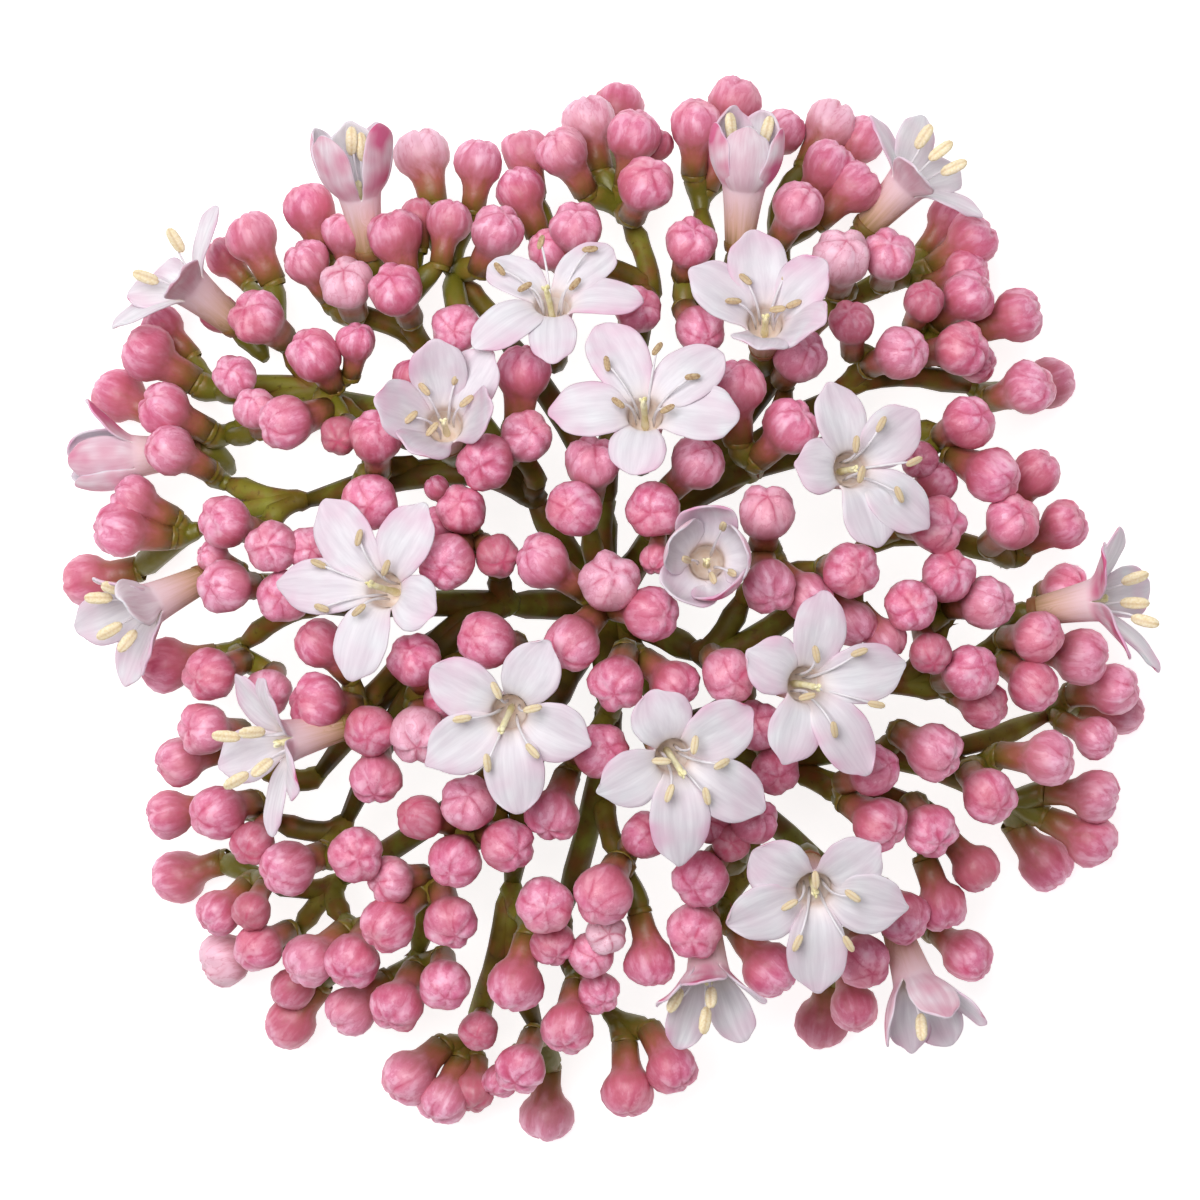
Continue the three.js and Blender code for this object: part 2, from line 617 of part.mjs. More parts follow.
// The corolla in one closed piece: a solid tube with a funnel mouth, and five blades that arch out
// from it. Neighbouring blades share the notch between them.
function corolla(throat, axis, tips, halfWidth, grow = 0) {
  const anyDirection = new THREE.Vector3(0.31, 0.74, 0.6);
  const side = anyDirection.cross(axis).normalize();
  const forward = axis.clone().cross(side);
  const azimuth = (point) => {
    const reach = point.clone().sub(throat);
    return Math.atan2(reach.dot(forward), reach.dot(side));
  };
  const around = (angle, radius) => throat.clone()
    .addScaledVector(side, Math.cos(angle) * radius)
    .addScaledVector(forward, Math.sin(angle) * radius);
  const ordered = tips
    .map((tip) => ({ tip, angle: azimuth(tip) }))
    .sort((a, b) => a.angle - b.angle);
  const upper = [];
  const lower = [];
  const spread = ordered.map(({ angle }, i) => {
    const next = ordered[(i + 1) % ordered.length].angle;
    return next > angle ? next - angle : next - angle + 2 * Math.PI;
  });
  ordered.forEach(({ angle }, i) => {
    const notch = around(angle + spread[i] / 2, THROAT_RADIUS + grow);
    upper.push(notch.clone().addScaledVector(axis, grow));
    lower.push(notch.clone().addScaledVector(axis, -PETAL_THICKNESS - grow));
  });
  const notches = upper.length;
  ordered.forEach(({ tip, angle }, i) => {
    const room = Math.min(spread[i], spread[(i + notches - 1) % notches]) / 2;
    const out = around(angle, 1).sub(throat);
    const across = axis.clone().cross(out);
    const start = around(angle, THROAT_RADIUS * BLADE_ROOT_SHARE);
    const bend = start.clone()
      .addScaledVector(axis, BLADE_RISE)
      .addScaledVector(out, start.distanceTo(tip) * BLADE_BEND_SHARE);
    const curve = new THREE.QuadraticBezierCurve3(start, bend, tip);
    for (const { at, width } of BLADE_SECTIONS) {
      const tangent = curve.getTangent(at);
      const normal = tangent.clone().cross(across).normalize();
      const middle = curve.getPoint(at);
      const fromAxis = middle.clone().sub(throat).dot(out) - PETAL_THICKNESS / 2;
      const half = Math.min(halfWidth * width, fromAxis * Math.tan(room) - BLADE_CLEARANCE);
      for (const edge of [-1, 1]) {
        const point = middle.clone()
          .addScaledVector(tangent, at === 1 ? grow : 0)
          .addScaledVector(across, edge * (Math.max(half, BLADE_CLEARANCE) + grow));
        upper.push(point.clone().addScaledVector(normal, PETAL_THICKNESS / 2 + grow));
        lower.push(point.clone().addScaledVector(normal, -PETAL_THICKNESS / 2 - grow));
      }
    }
  });
  const points = [...upper, ...lower];
  const below = upper.length;
  const funnel = points.push(throat.clone().addScaledVector(axis, -FUNNEL_DEPTH)) - 1;
  const foot = points.push(throat.clone().addScaledVector(axis, -TUBE_LENGTH - grow)) - 1;
  const indices = [];
  const quad = (a, b, c, d) => indices.push(a, b, c, a, c, d);
  ordered.forEach((_, i) => {
    const before = (i + notches - 1) % notches;
    const edges = [[before, i]];
    for (let k = 0; k < BLADE_SECTIONS.length; k += 1) {
      const left = notches + (i * BLADE_SECTIONS.length + k) * 2;
      edges.push([left, left + 1]);
    }
    for (let k = 0; k + 1 < edges.length; k += 1) {
      const [[a, b], [d, c]] = [edges[k], edges[k + 1]];
      quad(a, d, c, b);
      quad(b + below, c + below, d + below, a + below);
      quad(a, a + below, d + below, d);
      quad(c, c + below, b + below, b);
    }
    const [left, right] = edges.at(-1);
    quad(left, left + below, right + below, right);
    indices.push(before, i, funnel);
    indices.push(i + below, before + below, foot);
  });
  const geometry = new THREE.BufferGeometry();
  const coordinates = points.flatMap((point) => point.toArray());
  geometry.setAttribute("position", new THREE.Float32BufferAttribute(coordinates, 3));
  geometry.setIndex(indices);
  return solid(geometry);
}

// A stamen: a thin filament that ends in a longer, thicker anther
function stamen(start, end, grow = 0) {
  const length = start.distanceTo(end);
  const profile = [
    [0, 0],
    [FILAMENT_RADIUS + grow, length * FILAMENT_START_SHARE],
    [ANTHER_RADIUS + grow, length * ANTHER_START_SHARE],
    [0, length + grow],
  ];
  return turned(start, end, profile, STEM_SIDES);
}

function flowerAxis(flower, throat, foot) {
  if (flower.tilt === undefined) {
    return throat.clone().sub(foot).normalize();
  }
  const tilt = THREE.MathUtils.degToRad(flower.tilt);
  const lean = new THREE.Vector2(...flower.lean).normalize().multiplyScalar(Math.sin(tilt));
  return new THREE.Vector3(lean.x, lean.y, Math.cos(tilt));
}

function tipPoint(flower, [right, down, height], throat, axis) {
  const tip = place([right, down], 0);
  if (height !== undefined) {
    return tip.setZ(throat.z + height * MM_PER_PIXEL);
  }
  const fall = axis.x * (tip.x - throat.x) + axis.y * (tip.y - throat.y);
  return tip.setZ(throat.z + (flower.cup * MM_PER_PIXEL - fall) / axis.z);
}

function flower(name, grow = 0) {
  const data = FLOWERS[name];
  const foot = place(data.foot, data.foot[2]);
  const throat = place(data.throat, -(data.lift ?? FRONT_LIFT));
  const axis = flowerAxis(data, throat, foot);
  const tips = data.tips.map((tip) => tipPoint(data, tip, throat, axis));
  const base = throat.clone().addScaledVector(axis, -TUBE_LENGTH * PEDICEL_REACH);
  const pieces = [
    corolla(throat, axis, tips, data.width * MM_PER_PIXEL, grow),
    stem(foot, base, BRANCH_RADIUS, NECK_RADIUS, grow),
  ];
  tips.slice(0, data.stamens ?? STAMEN_COUNT).forEach((tip, i) => {
    const between = tip.clone().add(tips[(i + 1) % tips.length]).multiplyScalar(0.5).sub(throat);
    const outward = between.addScaledVector(axis, -between.dot(axis)).normalize();
    const root = throat.clone()
      .addScaledVector(outward, STAMEN_OFFSET)
      .addScaledVector(axis, -STAMEN_ROOT_DEPTH);
    const aim = axis.clone().multiplyScalar(STAMEN_UPRIGHTNESS).add(outward).normalize();
    pieces.push(stamen(root, root.clone().addScaledVector(aim, STAMEN_LENGTH), grow));
  });
  return fuse(pieces);
}

// Only the largest body of a cut solid stays, so sealed hollows are filled and scraps dropped
function largestBody(shape) {
  const bodies = shape.decompose();
  return bodies.reduce((best, body) => (body.volume() > best.volume() ? body : best));
}

function finished(shape) {
  return largestBody(largestBody(shape).asOriginal().simplify(FINENESS));
}

function boxesMeet(a, b) {
  const [p, q] = [a.boundingBox(), b.boundingBox()];
  return [0, 1, 2].every((i) => p.min[i] < q.max[i] && q.min[i] < p.max[i]);
}

function meshOf(name, shape, color) {
  const { vertProperties, triVerts } = shape.getMesh();
  const geometry = new THREE.BufferGeometry();
  geometry.setAttribute("position", new THREE.BufferAttribute(vertProperties, 3));
  geometry.setIndex(new THREE.BufferAttribute(triVerts, 1));
  geometry.computeVertexNormals();
  const material = new THREE.MeshStandardMaterial({ color, roughness: SATIN, metalness: 0 });
  const mesh = new THREE.Mesh(geometry, material);
  mesh.name = name;
  return mesh;
}

const head = new THREE.Group();

head.add(meshOf("rays", finished(framework()), STEM_GREEN));

const keptClear = [framework(GAP)];
for (const name of Object.keys(FLOWERS)) {
  const shape = finished(flower(name));
  head.add(meshOf(name, shape, PETAL_WHITE));
  keptClear.push(flower(name, GAP));
}

// Each spray is cut clear of the rays, the flowers and the sprays placed before it
for (const name of Object.keys(SPRAYS)) {
  let shape = spray(name).trimByPlane([0, 0, 1], 0);
  for (const other of keptClear) {
    if (boxesMeet(shape, other)) {
      shape = shape.subtract(other);
    }
  }
  head.add(meshOf(`spray_${name}`, finished(shape), BUD_PINK));
  keptClear.push(spray(name, GAP));
}

export default head;
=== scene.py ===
import math
import random
from functools import partial

import bpy
from mathutils import Matrix, Vector, noise


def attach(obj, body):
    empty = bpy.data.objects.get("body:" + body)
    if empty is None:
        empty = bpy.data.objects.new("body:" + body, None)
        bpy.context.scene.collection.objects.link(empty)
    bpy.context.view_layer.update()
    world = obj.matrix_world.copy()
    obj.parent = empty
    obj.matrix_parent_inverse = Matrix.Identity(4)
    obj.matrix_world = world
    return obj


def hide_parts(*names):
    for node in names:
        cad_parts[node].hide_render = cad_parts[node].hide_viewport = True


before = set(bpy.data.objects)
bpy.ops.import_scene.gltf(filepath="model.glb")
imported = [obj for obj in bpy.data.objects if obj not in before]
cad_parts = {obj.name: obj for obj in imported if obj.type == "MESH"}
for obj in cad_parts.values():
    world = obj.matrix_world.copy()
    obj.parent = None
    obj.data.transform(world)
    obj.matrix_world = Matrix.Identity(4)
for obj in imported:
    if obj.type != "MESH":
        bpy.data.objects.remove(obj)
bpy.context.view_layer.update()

# The cut stalk and its rays: green, slightly woody stems that spread from one hub under the
# dome and fork towards every spray. Each is one round shoot, bent to its course and swollen
# where it forks.
MM = 0.001
PIXEL = 0.05 * MM
MIDDLE = (612.5, 610.7)
DOME_TOP = 20 * MM
DOME_RIM = 4 * MM
RIM_RADIUS = 27 * MM
HUB = (604, 606)
HUB_HEIGHT = 5 * MM
STALK_END = 0.65 * MM
STALK_WIDTHS = [1.15, 1.12, 1.15, 1.3, 0.6]
RAY_WIDTHS = [1.0, 0.88, 0.76, 0.7, 0.84]
SHOOT_SIDES = 8
SHOOT_LENGTHS = 7
LUMP_SHARE = 0.16
LUMPS_PER_METRE = 700
UP = Vector((0, 0, 1))

# Where each main ray ends: right and down in the picture, and mm below the dome of the buds
RAYS = {
    "west": (510, 604, 9),
    "north_west": (535, 500, 9),
    "north": (602, 508, 9),
    "north_east": (672, 515, 9),
    "east": (696, 652, 9),
    "south_east": (672, 718, 9),
    "south": (609, 705, 9),
    "south_west": (548, 712, 9),
}


def on_head(place, depth):
    """A place read off the picture, as a point the given mm below the dome of the buds."""
    x = (place[0] - MIDDLE[0]) * PIXEL
    y = (MIDDLE[1] - place[1]) * PIXEL
    fall = (DOME_TOP - DOME_RIM) * (x * x + y * y) / RIM_RADIUS**2
    return Vector((x, y, DOME_TOP - fall - depth * MM))


def clear_bench():
    """Leaves edit mode and lets go of everything that is selected."""
    if bpy.context.object and bpy.context.object.mode == "EDIT":
        bpy.ops.object.mode_set(mode="OBJECT")
    bpy.ops.object.select_all(action="DESELECT")


def into_edit_mode():
    """Opens the new primitive for editing, with all of it selected."""
    bpy.ops.object.mode_set(mode="EDIT")
    bpy.ops.mesh.select_all(action="SELECT")


def taken_up():
    """Takes the finished pattern off the bench: its corners and its faces."""
    bpy.ops.mesh.select_all(action="SELECT")
    bpy.ops.mesh.remove_doubles(threshold=1e-5)
    bpy.ops.mesh.normals_make_consistent(inside=False)
    bpy.ops.object.mode_set(mode="OBJECT")
    pattern = bpy.context.object
    corners = [corner.co.copy() for corner in pattern.data.vertices]
    faces = [tuple(face.vertices) for face in pattern.data.polygons]
    bpy.data.objects.remove(pattern)
    return corners, faces


def make_shoot():
    """A straight closed shoot of unit radius and length, with a ring at the end of each length."""
    clear_bench()
    bpy.ops.mesh.primitive_circle_add(vertices=SHOOT_SIDES, radius=1, fill_type="NGON")
    into_edit_mode()
    for _ in range(SHOOT_LENGTHS):
        bpy.ops.mesh.extrude_region_move(TRANSFORM_OT_translate={"value": (0, 0, 1 / SHOOT_LENGTHS)})
    return taken_up()


SHOOT = make_shoot()


def new_cluster():
    """An empty cluster, which gathers the copies that make up one piece."""
    return {"corners": [], "faces": [], "own": [], "tint": [], "finish": []}


def lay(cluster, pattern, course, tint=0.0, finish=0):
    """Adds a copy of a pattern to a cluster. The course gives each corner its place on the head and
    its own place on the bud or petal, which the colours follow."""
    corners, faces = pattern
    first = len(cluster["corners"])
    for corner in corners:
        place, own = course(corner)
        cluster["corners"].append(place)
        cluster["own"].extend(own)
        cluster["tint"].append(tint)
    for face in faces:
        cluster["faces"].append([first + number for number in face])
        cluster["finish"].append(finish)


def bent(start, bend, end, widths, own_from=0.0, own_to=0.0):
    """The course of a shoot that leaves start towards bend and ends at end, with its radius in mm at
    even steps and rounded ends. Its own place runs from own_from to own_to along it."""
    across = (end - start).orthogonal().normalized()
    steps = len(widths) - 1

    def course(corner):
        along = corner.z
        left = 1 - along
        point = start * left**2 + bend * (2 * along * left) + end * along**2
        heading = ((bend - start) * left + (end - bend) * along).normalized()
        forward = heading.cross(across).normalized()
        side = forward.cross(heading)
        step = min(int(along * steps), steps - 1)
        share = along * steps - step
        radius = (widths[step] * (1 - share) + widths[step + 1] * share) * MM
        radius *= 1 + LUMP_SHARE * noise.noise((point + side * corner.x * MM) * LUMPS_PER_METRE)
        if along < 0.001 or along > 0.999:
            radius *= 0.5
            point += heading * (radius if along > 0.5 else -radius)
        place = point + (side * corner.x + forward * corner.y) * radius
        return place, (corner.x / 2, corner.y / 2, own_from + (own_to - own_from) * along)

    return course


def mark(mesh, name, kind, field, values):
    """Gives every corner of a mesh a named value, which its material reads."""
    mesh.attributes.new(name, kind, "POINT").data.foreach_set(field, values)


def set_down(cluster, name, finishes, node):
    """Makes one piece of a cluster, in place of its node of the part."""
    mesh = bpy.data.meshes.new(name)
    mesh.from_pydata(cluster["corners"], [], cluster["faces"])
    mark(mesh, "own", "FLOAT_VECTOR", "vector", cluster["own"])
    mark(mesh, "tint", "FLOAT", "value", cluster["tint"])
    for finish in finishes:
        mesh.materials.append(finish)
    mesh.polygons.foreach_set("material_index", cluster["finish"])
    mesh.polygons.foreach_set("use_smooth", [True] * len(mesh.polygons))
    mesh.update()
    piece = bpy.data.objects.new(name, mesh)
    bpy.context.collection.objects.link(piece)
    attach(piece, "root")
    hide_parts(node)


def colour(code):
    """An sRGB hex colour in the linear values that shaders take."""
    parts = [int(code[i:i + 2], 16) / 255 for i in (1, 3, 5)]
    return [c / 12.92 if c <= 0.04045 else ((c + 0.055) / 1.055) ** 2.4 for c in parts] + [1]


def put(tree, kind, sockets=None, stops=None, **settings):
    """Adds a node with its settings and gives its first output that is in use. A socket takes a
    value or another node's output, and stops are the colours of a ramp."""
    made = tree.nodes.new("ShaderNode" + kind)
    for name, value in settings.items():
        setattr(made, name, value)
    for key, value in (sockets or {}).items():
        if isinstance(value, bpy.types.NodeSocket):
            tree.links.new(value, made.inputs[key])
        else:
            made.inputs[key].default_value = value
    if stops:
        marks = made.color_ramp.elements
        while len(marks) < len(stops):
            marks.new(1)
        for stop, (at, code) in zip(marks, stops):
            stop.position = at
            stop.color = colour(code)
    return next((output for output in made.outputs if output.enabled), None)


def new_finish(name):
    """An empty material, what adds a node to it, and the place on the head that it reads."""
    finish = bpy.data.materials.new(name)
    finish.use_nodes = True
    finish.node_tree.nodes.clear()
    add = partial(put, finish.node_tree)
    return finish, add, add("TexCoord").node.outputs["Object"]


def washed(add, skin, washes):
    """Lays washes of colour over a skin. Each goes by a value: where it starts, where it is full,
    how strong it is there, and its colour."""
    for value, start, full, strength, code in washes:
        amount = add("MapRange", {"Value": value, "From Min": start, "From Max": full, "To Max": strength})
        skin = add("Mix", {"Factor": amount, 6: skin, 7: colour(code)}, data_type="RGBA")
    return skin


def coated(finish, add, sockets):
    """Ends a material with its shader, which takes the colour, relief and values given."""
    add("OutputMaterial", {"Surface": add("BsdfPrincipled", sockets)})
    return finish


def green_rind(name, dark, mid, light, flush):
    """Young green rind of a shoot, waxy and dull. It is olive in the shade of the dome and flushed
    brown in patches, with freckles about 0.3 mm wide."""
    finish, add, here = new_finish(name)
    broad = add("TexNoise", {"Vector": here, "Scale": 1 / (3 * MM), "Detail": 3.0})
    greens = add("ValToRGB", {"Fac": broad}, stops=[(0.3, dark), (0.48, mid), (0.68, light)])
    patches = add("TexNoise", {"Vector": here, "Scale": 1 / (1.1 * MM), "Detail": 4.0})
    freckles = add("TexNoise", {"Vector": here, "Scale": 1 / (0.3 * MM), "Detail": 2.0})
    rind = washed(add, greens, [
        (patches, 0.46, 0.68, 0.75, flush),
        (freckles, 0.62, 0.74, 0.5, "#4a2c17"),
    ])
    relief = add("Bump", {"Height": freckles, "Strength": 0.35, "Distance": 0.06 * MM})
    return coated(finish, add, {
        "Base Color": rind, "Normal": relief, "Roughness": 0.55, "Specular IOR Level": 0.25,
    })


ray_rind = green_rind("green_ray_rind", "#3b2d08", "#594c10", "#747a26", "#6a3c18")

rays = new_cluster()
hub = on_head(HUB, 0)
hub.z = HUB_HEIGHT
cut_end = Vector((hub.x, hub.y, STALK_END))
lay(rays, SHOOT, bent(cut_end, cut_end.lerp(hub, 0.5), hub + UP * MM, STALK_WIDTHS))
for ray in RAYS.values():
    end = on_head(ray, ray[2])
    lay(rays, SHOOT, bent(hub - UP * 0.5 * MM, hub.lerp(end, 0.35) + UP * MM, end, RAY_WIDTHS))

# The side branches that carry the sprays belong to the rays: each leaves its ray in a low arch
# and thins towards the place where the spray sits on it.
BRANCH_WIDTHS = [0.8, 0.7, 0.63, 0.6, 0.72]
REST = "rest"

# Each spray: the ray it grows from, its seat on that ray, and its forks. A fork is a place and its
# buds; a bud is right, down and radius in pixels, and mm below the dome, or REST on the floor.
SPRAYS = {
    "crown": ("north", (600, 572, 8), [
        ((601, 600, 4.5), [
            (609, 582, 30, 0), (650, 613, 28, 0.3), (572, 643, 28, 0.3), (543, 562, 28, 0.3),
        ]),
        ((590, 530, 4.5), [(574, 510, 28, 0), (593, 463, 28, 0.5)]),
    ]),
    "crown_north_east": ("north_east", (655, 530, 7.5), [
        ((662, 503, 4.5), [(653, 510, 28, 0), (697, 463, 28, 1.2), (655, 560, 16, 1.2)]),
    ]),
    "crown_east": ("east", (742, 600, 7.5), [
        ((768, 562, 4.5), [(766, 512, 28, 0.3), (769, 587, 27, 0.6), (808, 597, 25, 1.4)]),
        ((815, 568, 4.5), [(850, 570, 28, 0), (854, 623, 22, 2.2), (885, 640, 22, 1.8)]),
    ]),
    "crown_south": ("south", (609, 712, 7), [
        ((622, 668, 4.5), [(617, 682, 28, 0), (674, 684, 25, 1.2)]),
        ((583, 752, 4.8), [(600, 750, 28, 1.2), (553, 815, 27, 1)]),
    ]),
    "crown_south_east": ("south_east", (735, 705, 7.5), [
        ((728, 668, 4.5), [(728, 675, 27, 0)]),
        ((772, 745, 5.5), [(757, 725, 25, 1.8), (775, 770, 24, 2.2)]),
    ]),
    "crown_west": ("west", (500, 575, 7.5), [
        ((472, 540, 4.8), [
            (448, 562, 28, 0), (497, 556, 22, 1), (462, 510, 25, 0.6), (436, 525, 18, 1.8),
            (437, 488, 13, 2.2),
        ]),
    ]),
    "crown_north_west": ("north_west", (536, 482, 7), [
        ((520, 452, 4.5), [(487, 463, 28, 0), (527, 437, 26, 1), (523, 373, 28, 1)]),
    ]),
    "crown_south_west": ("south_west", (455, 672, 6.8), [
        ((495, 655, 5), [(487, 640, 29, 0)]),
        ((422, 690, 4.8), [(415, 660, 27, 0.6), (419, 735, 29, 0.6), (445, 698, 22, 2.6)]),
    ]),
    "west_inner": ("west", (400, 668, 7), [
        ((368, 702, 5), [
            (317, 702, 29, 0.5), (371, 731, 26, 0.3), (320, 644, 25, 1.8), (376, 778, 27, 0.6),
        ]),
    ]),
    "west_mid": ("west", (320, 606, 6.5), [
        ((262, 590, 5), [(224, 587, 27, 0), (212, 556, 17, 1.6), (283, 597, 27, 1.8)]),
        ((245, 642, 5.5), [(209, 674, 27, 0.4), (163, 665, 28, 1.8), (268, 692, 24, 1.8)]),
    ]),
    "west_rim": ("north_west", (305, 500, 6.5), [
        ((268, 520, 4.8), [(226, 522, 27, 0), (272, 547, 26, 0.3), (308, 549, 22, 2)]),
        ((200, 528, 4.8), [(131, 499, 25, 0.8), (118, 530, 28, 0), (86, 580, 27, REST)]),
        ((230, 485, 5), [(170, 450, 25, 0.2)]),
    ]),
    "north_west_mid": ("north_west", (415, 468, 7), [
        ((376, 470, 5), [(377, 437, 27, 0.3), (371, 502, 29, 0.4), (412, 378, 20, 2.4)]),
    ]),
    "north_west_inner": ("north_west", (372, 428, 6.5), [
        ((338, 402, 4.5), [(286, 422, 28, 0), (314, 355, 27, 0), (340, 436, 20, 1), (356, 342, 20, 1)]),
    ]),
    "north_west_rim": ("north_west", (330, 395, 7.5), [
        ((288, 350, 5), [
            (250, 236, 26, 0.6), (217, 312, 20, 2.8), (256, 317, 28, 0), (222, 255, 20, 2.4),
        ]),
        ((232, 388, 5), [(146, 352, 29, 0), (160, 325, 22, 1.8), (234, 376, 22, 0)]),
        ((238, 425, 5.2), [(116, 394, 27, 1.8), (162, 408, 28, 0), (254, 408, 21, 0.4)]),
    ]),
    "north_north_west": ("north_west", (425, 350, 7), [
        ((350, 312, 5), [(308, 206, 27, 0), (306, 261, 24, 0.8), (344, 232, 23, 0.8), (346, 283, 27, 0)]),
        ((408, 322, 4.8), [
            (396, 290, 27, 0), (395, 234, 28, 0.3), (418, 214, 18, 1.4), (449, 221, 23, 0.8),
        ]),
    ]),
    "north_mid": ("north", (500, 330, 7), [
        ((465, 285, 5), [(497, 231, 27, 0), (478, 161, 25, 0), (421, 152, 28, 0.6), (456, 328, 25, 1.2)]),
    ]),
    "north_rim": ("north", (648, 302, 7), [
        ((630, 222, 5), [
            (562, 151, 26, 0.3), (589, 118, 27, 1), (619, 104, 25, REST), (634, 134, 27, 0),
            (656, 142, 18, 1.6), (645, 184, 28, 0),
        ]),
        ((588, 262, 5), [
            (525, 150, 24, 1.6), (520, 190, 25, 1.6), (576, 228, 27, 0.4), (549, 250, 21, 2.2),
        ]),
        ((640, 296, 5.5), [(638, 310, 24, 2)]),
    ]),
    "north_north_east": ("north_east", (702, 318, 7.5), [
        ((702, 212, 5.2), [(696, 124, 26, 0.3), (735, 99, 27, 1), (783, 130, 23, 2), (722, 150, 21, 2.4)]),
        ((694, 275, 4.8), [(691, 243, 26, 0), (700, 330, 25, 2.2)]),
    ]),
    "north_east_inner": ("north_east", (745, 475, 7.5), [
        ((755, 465, 5), [(737, 388, 29, 0.5), (790, 427, 28, 0.5)]),
        ((785, 392, 6.2), [(800, 356, 27, 1.6)]),
    ]),
    "north_east_mid": ("north_east", (795, 345, 7.5), [
        ((785, 262, 5), [
            (799, 205, 26, 0), (829, 166, 28, 0.3), (832, 122, 27, 1), (861, 138, 24, 1.6),
            (856, 185, 27, 0.4),
        ]),
        ((838, 300, 5), [(843, 256, 29, 0)]),
        ((895, 278, 5.2), [
            (889, 254, 26, 0), (975, 237, 27, 0.6), (968, 270, 24, 1.6), (950, 215, 22, 2.4),
        ]),
    ]),
    "north_east_rim": ("north_east", (835, 395, 7), [
        ((862, 368, 5), [(851, 323, 23, 0.2), (902, 353, 28, 0)]),
        ((918, 336, 5), [
            (924, 301, 21, 0.6), (970, 295, 27, 0), (962, 348, 28, 0), (1020, 314, 27, 0),
            (978, 362, 20, 2),
        ]),
        ((968, 385, 5), [(1030, 387, 27, 0), (1052, 382, 26, REST)]),
    ]),
    "east_north_east": ("north_east", (892, 435, 7), [
        ((935, 430, 4.8), [(969, 422, 27, 0), (992, 475, 28, 0), (920, 460, 19, 2)]),
    ]),
    "east_mid": ("east", (862, 548, 7.5), [
        ((902, 526, 4.8), [(937, 525, 29, 0), (935, 485, 22, 2.6)]),
        ((1000, 556, 5), [(1013, 522, 28, 0), (1065, 524, 25, 0.6), (1037, 473, 25, 0.8)]),
    ]),
    "east_rim": ("east", (882, 682, 7), [
        ((942, 628, 4.8), [
            (910, 606, 27, 0), (948, 575, 27, 0.2), (930, 653, 21, 0.6), (987, 603, 27, 0),
        ]),
        ((998, 652, 5), [(1038, 637, 26, 0), (1033, 685, 26, 0.4), (1083, 657, 29, 0.4)]),
        ((1038, 606, 5.4), [(1068, 588, 25, 2.4)]),
        ((938, 690, 5), [(970, 672, 28, 0), (985, 705, 24, 1.6)]),
    ]),
    "east_south_east": ("south_east", (862, 752, 7.5), [
        ((895, 740, 4.8), [(934, 752, 29, 0)]),
        ((965, 765, 4.8), [(990, 796, 28, 0), (1050, 759, 28, 0)]),
        ((1045, 718, 5.4), [(1117, 690, 26, 0.4), (1122, 712, 25, REST), (1098, 738, 22, 0.8)]),
        ((1003, 797, 5.4), [(1098, 797, 27, 0.6), (1094, 842, 27, 1), (1049, 866, 28, REST)]),
    ]),
    "south_east_mid": ("south_east", (800, 772, 7.5), [
        ((836, 795, 4.8), [(873, 770, 25, 0.6), (880, 824, 28, 0)]),
        ((905, 800, 5), [(931, 831, 27, 0), (943, 907, 26, 1), (977, 869, 24, 1)]),
    ]),
    "south_east_rim": ("south_east", (822, 862, 8), [
        ((858, 935, 5.5), [(864, 962, 27, 0.6), (855, 1010, 25, 1.4), (824, 1024, 27, REST)]),
        ((866, 885, 5.2), [(903, 917, 27, 0.8)]),
        ((915, 925, 6), [(969, 957, 26, 1.4)]),
    ]),
    "south_south_east": ("south_east", (742, 802, 7.5), [
        ((745, 848, 5.2), [
            (755, 820, 24, 1.4), (731, 842, 20, 1.6), (701, 879, 28, 0.2), (712, 825, 20, 2.4),
        ]),
        ((730, 898, 5.4), [(694, 930, 28, 0), (770, 970, 28, 0.8)]),
    ]),
    "south_mid": ("south", (605, 802, 7), [
        ((617, 852, 4.8), [(604, 893, 30, 0), (650, 962, 26, 0.6), (645, 835, 24, 1.8)]),
    ]),
    "south_rim": ("south", (562, 915, 7.5), [
        ((570, 965, 5.2), [
            (568, 1028, 27, 0), (592, 955, 23, 0.6), (599, 993, 22, 1.2), (606, 934, 21, 0.4),
        ]),
        ((605, 1010, 5.8), [(628, 1094, 27, 0.2), (672, 1070, 26, 0.8)]),
    ]),
    "south_south_west": ("south_west", (512, 885, 7), [
        ((522, 915, 4.8), [(545, 905, 29, 0), (553, 944, 23, 0.8), (515, 985, 29, 0)]),
        ((472, 1040, 5.6), [
            (478, 1032, 20, 1.4), (473, 1095, 21, 1.8), (442, 1103, 26, 0.6), (408, 1080, 27, 1),
        ]),
        ((535, 1028, 5.6), [(520, 1070, 26, 0), (546, 1120, 27, REST), (500, 1083, 18, 2)]),
    ]),
    "south_west_inner": ("south_west", (500, 812, 7), [
        ((474, 838, 4.8), [
            (469, 803, 28, 0.3), (508, 845, 27, 0), (455, 861, 27, 0.2), (421, 817, 23, 0.6),
        ]),
    ]),
    "south_west_mid": ("south_west", (448, 862, 7.5), [
        ((428, 888, 5), [(388, 925, 28, 0), (391, 880, 24, 1.2), (451, 922, 27, 0.2)]),
        ((418, 950, 5.6), [(396, 1007, 27, 0), (349, 1013, 26, 0.8), (444, 985, 26, 0.3)]),
    ]),
    "west_south_west": ("west", (345, 822, 7), [
        ((328, 850, 4.8), [(287, 868, 29, 0), (356, 855, 28, 0)]),
        ((275, 822, 5), [(167, 815, 25, 0.8), (217, 813, 28, 0.4), (252, 843, 22, 0.6)]),
    ]),
    "south_west_rim": ("south_west", (338, 882, 7.5), [
        ((268, 882, 5.4), [(177, 878, 27, REST), (217, 914, 23, 0.8), (250, 912, 20, 0.4)]),
        ((300, 928, 5.6), [(257, 949, 24, 0.3), (221, 962, 27, 1.2)]),
        ((342, 918, 5.4), [
            (352, 962, 28, 0), (309, 961, 27, 0), (292, 990, 22, 1.6), (289, 1024, 26, 1.4),
        ]),
    ]),
    "west_rim_low": ("west", (318, 775, 7.5), [
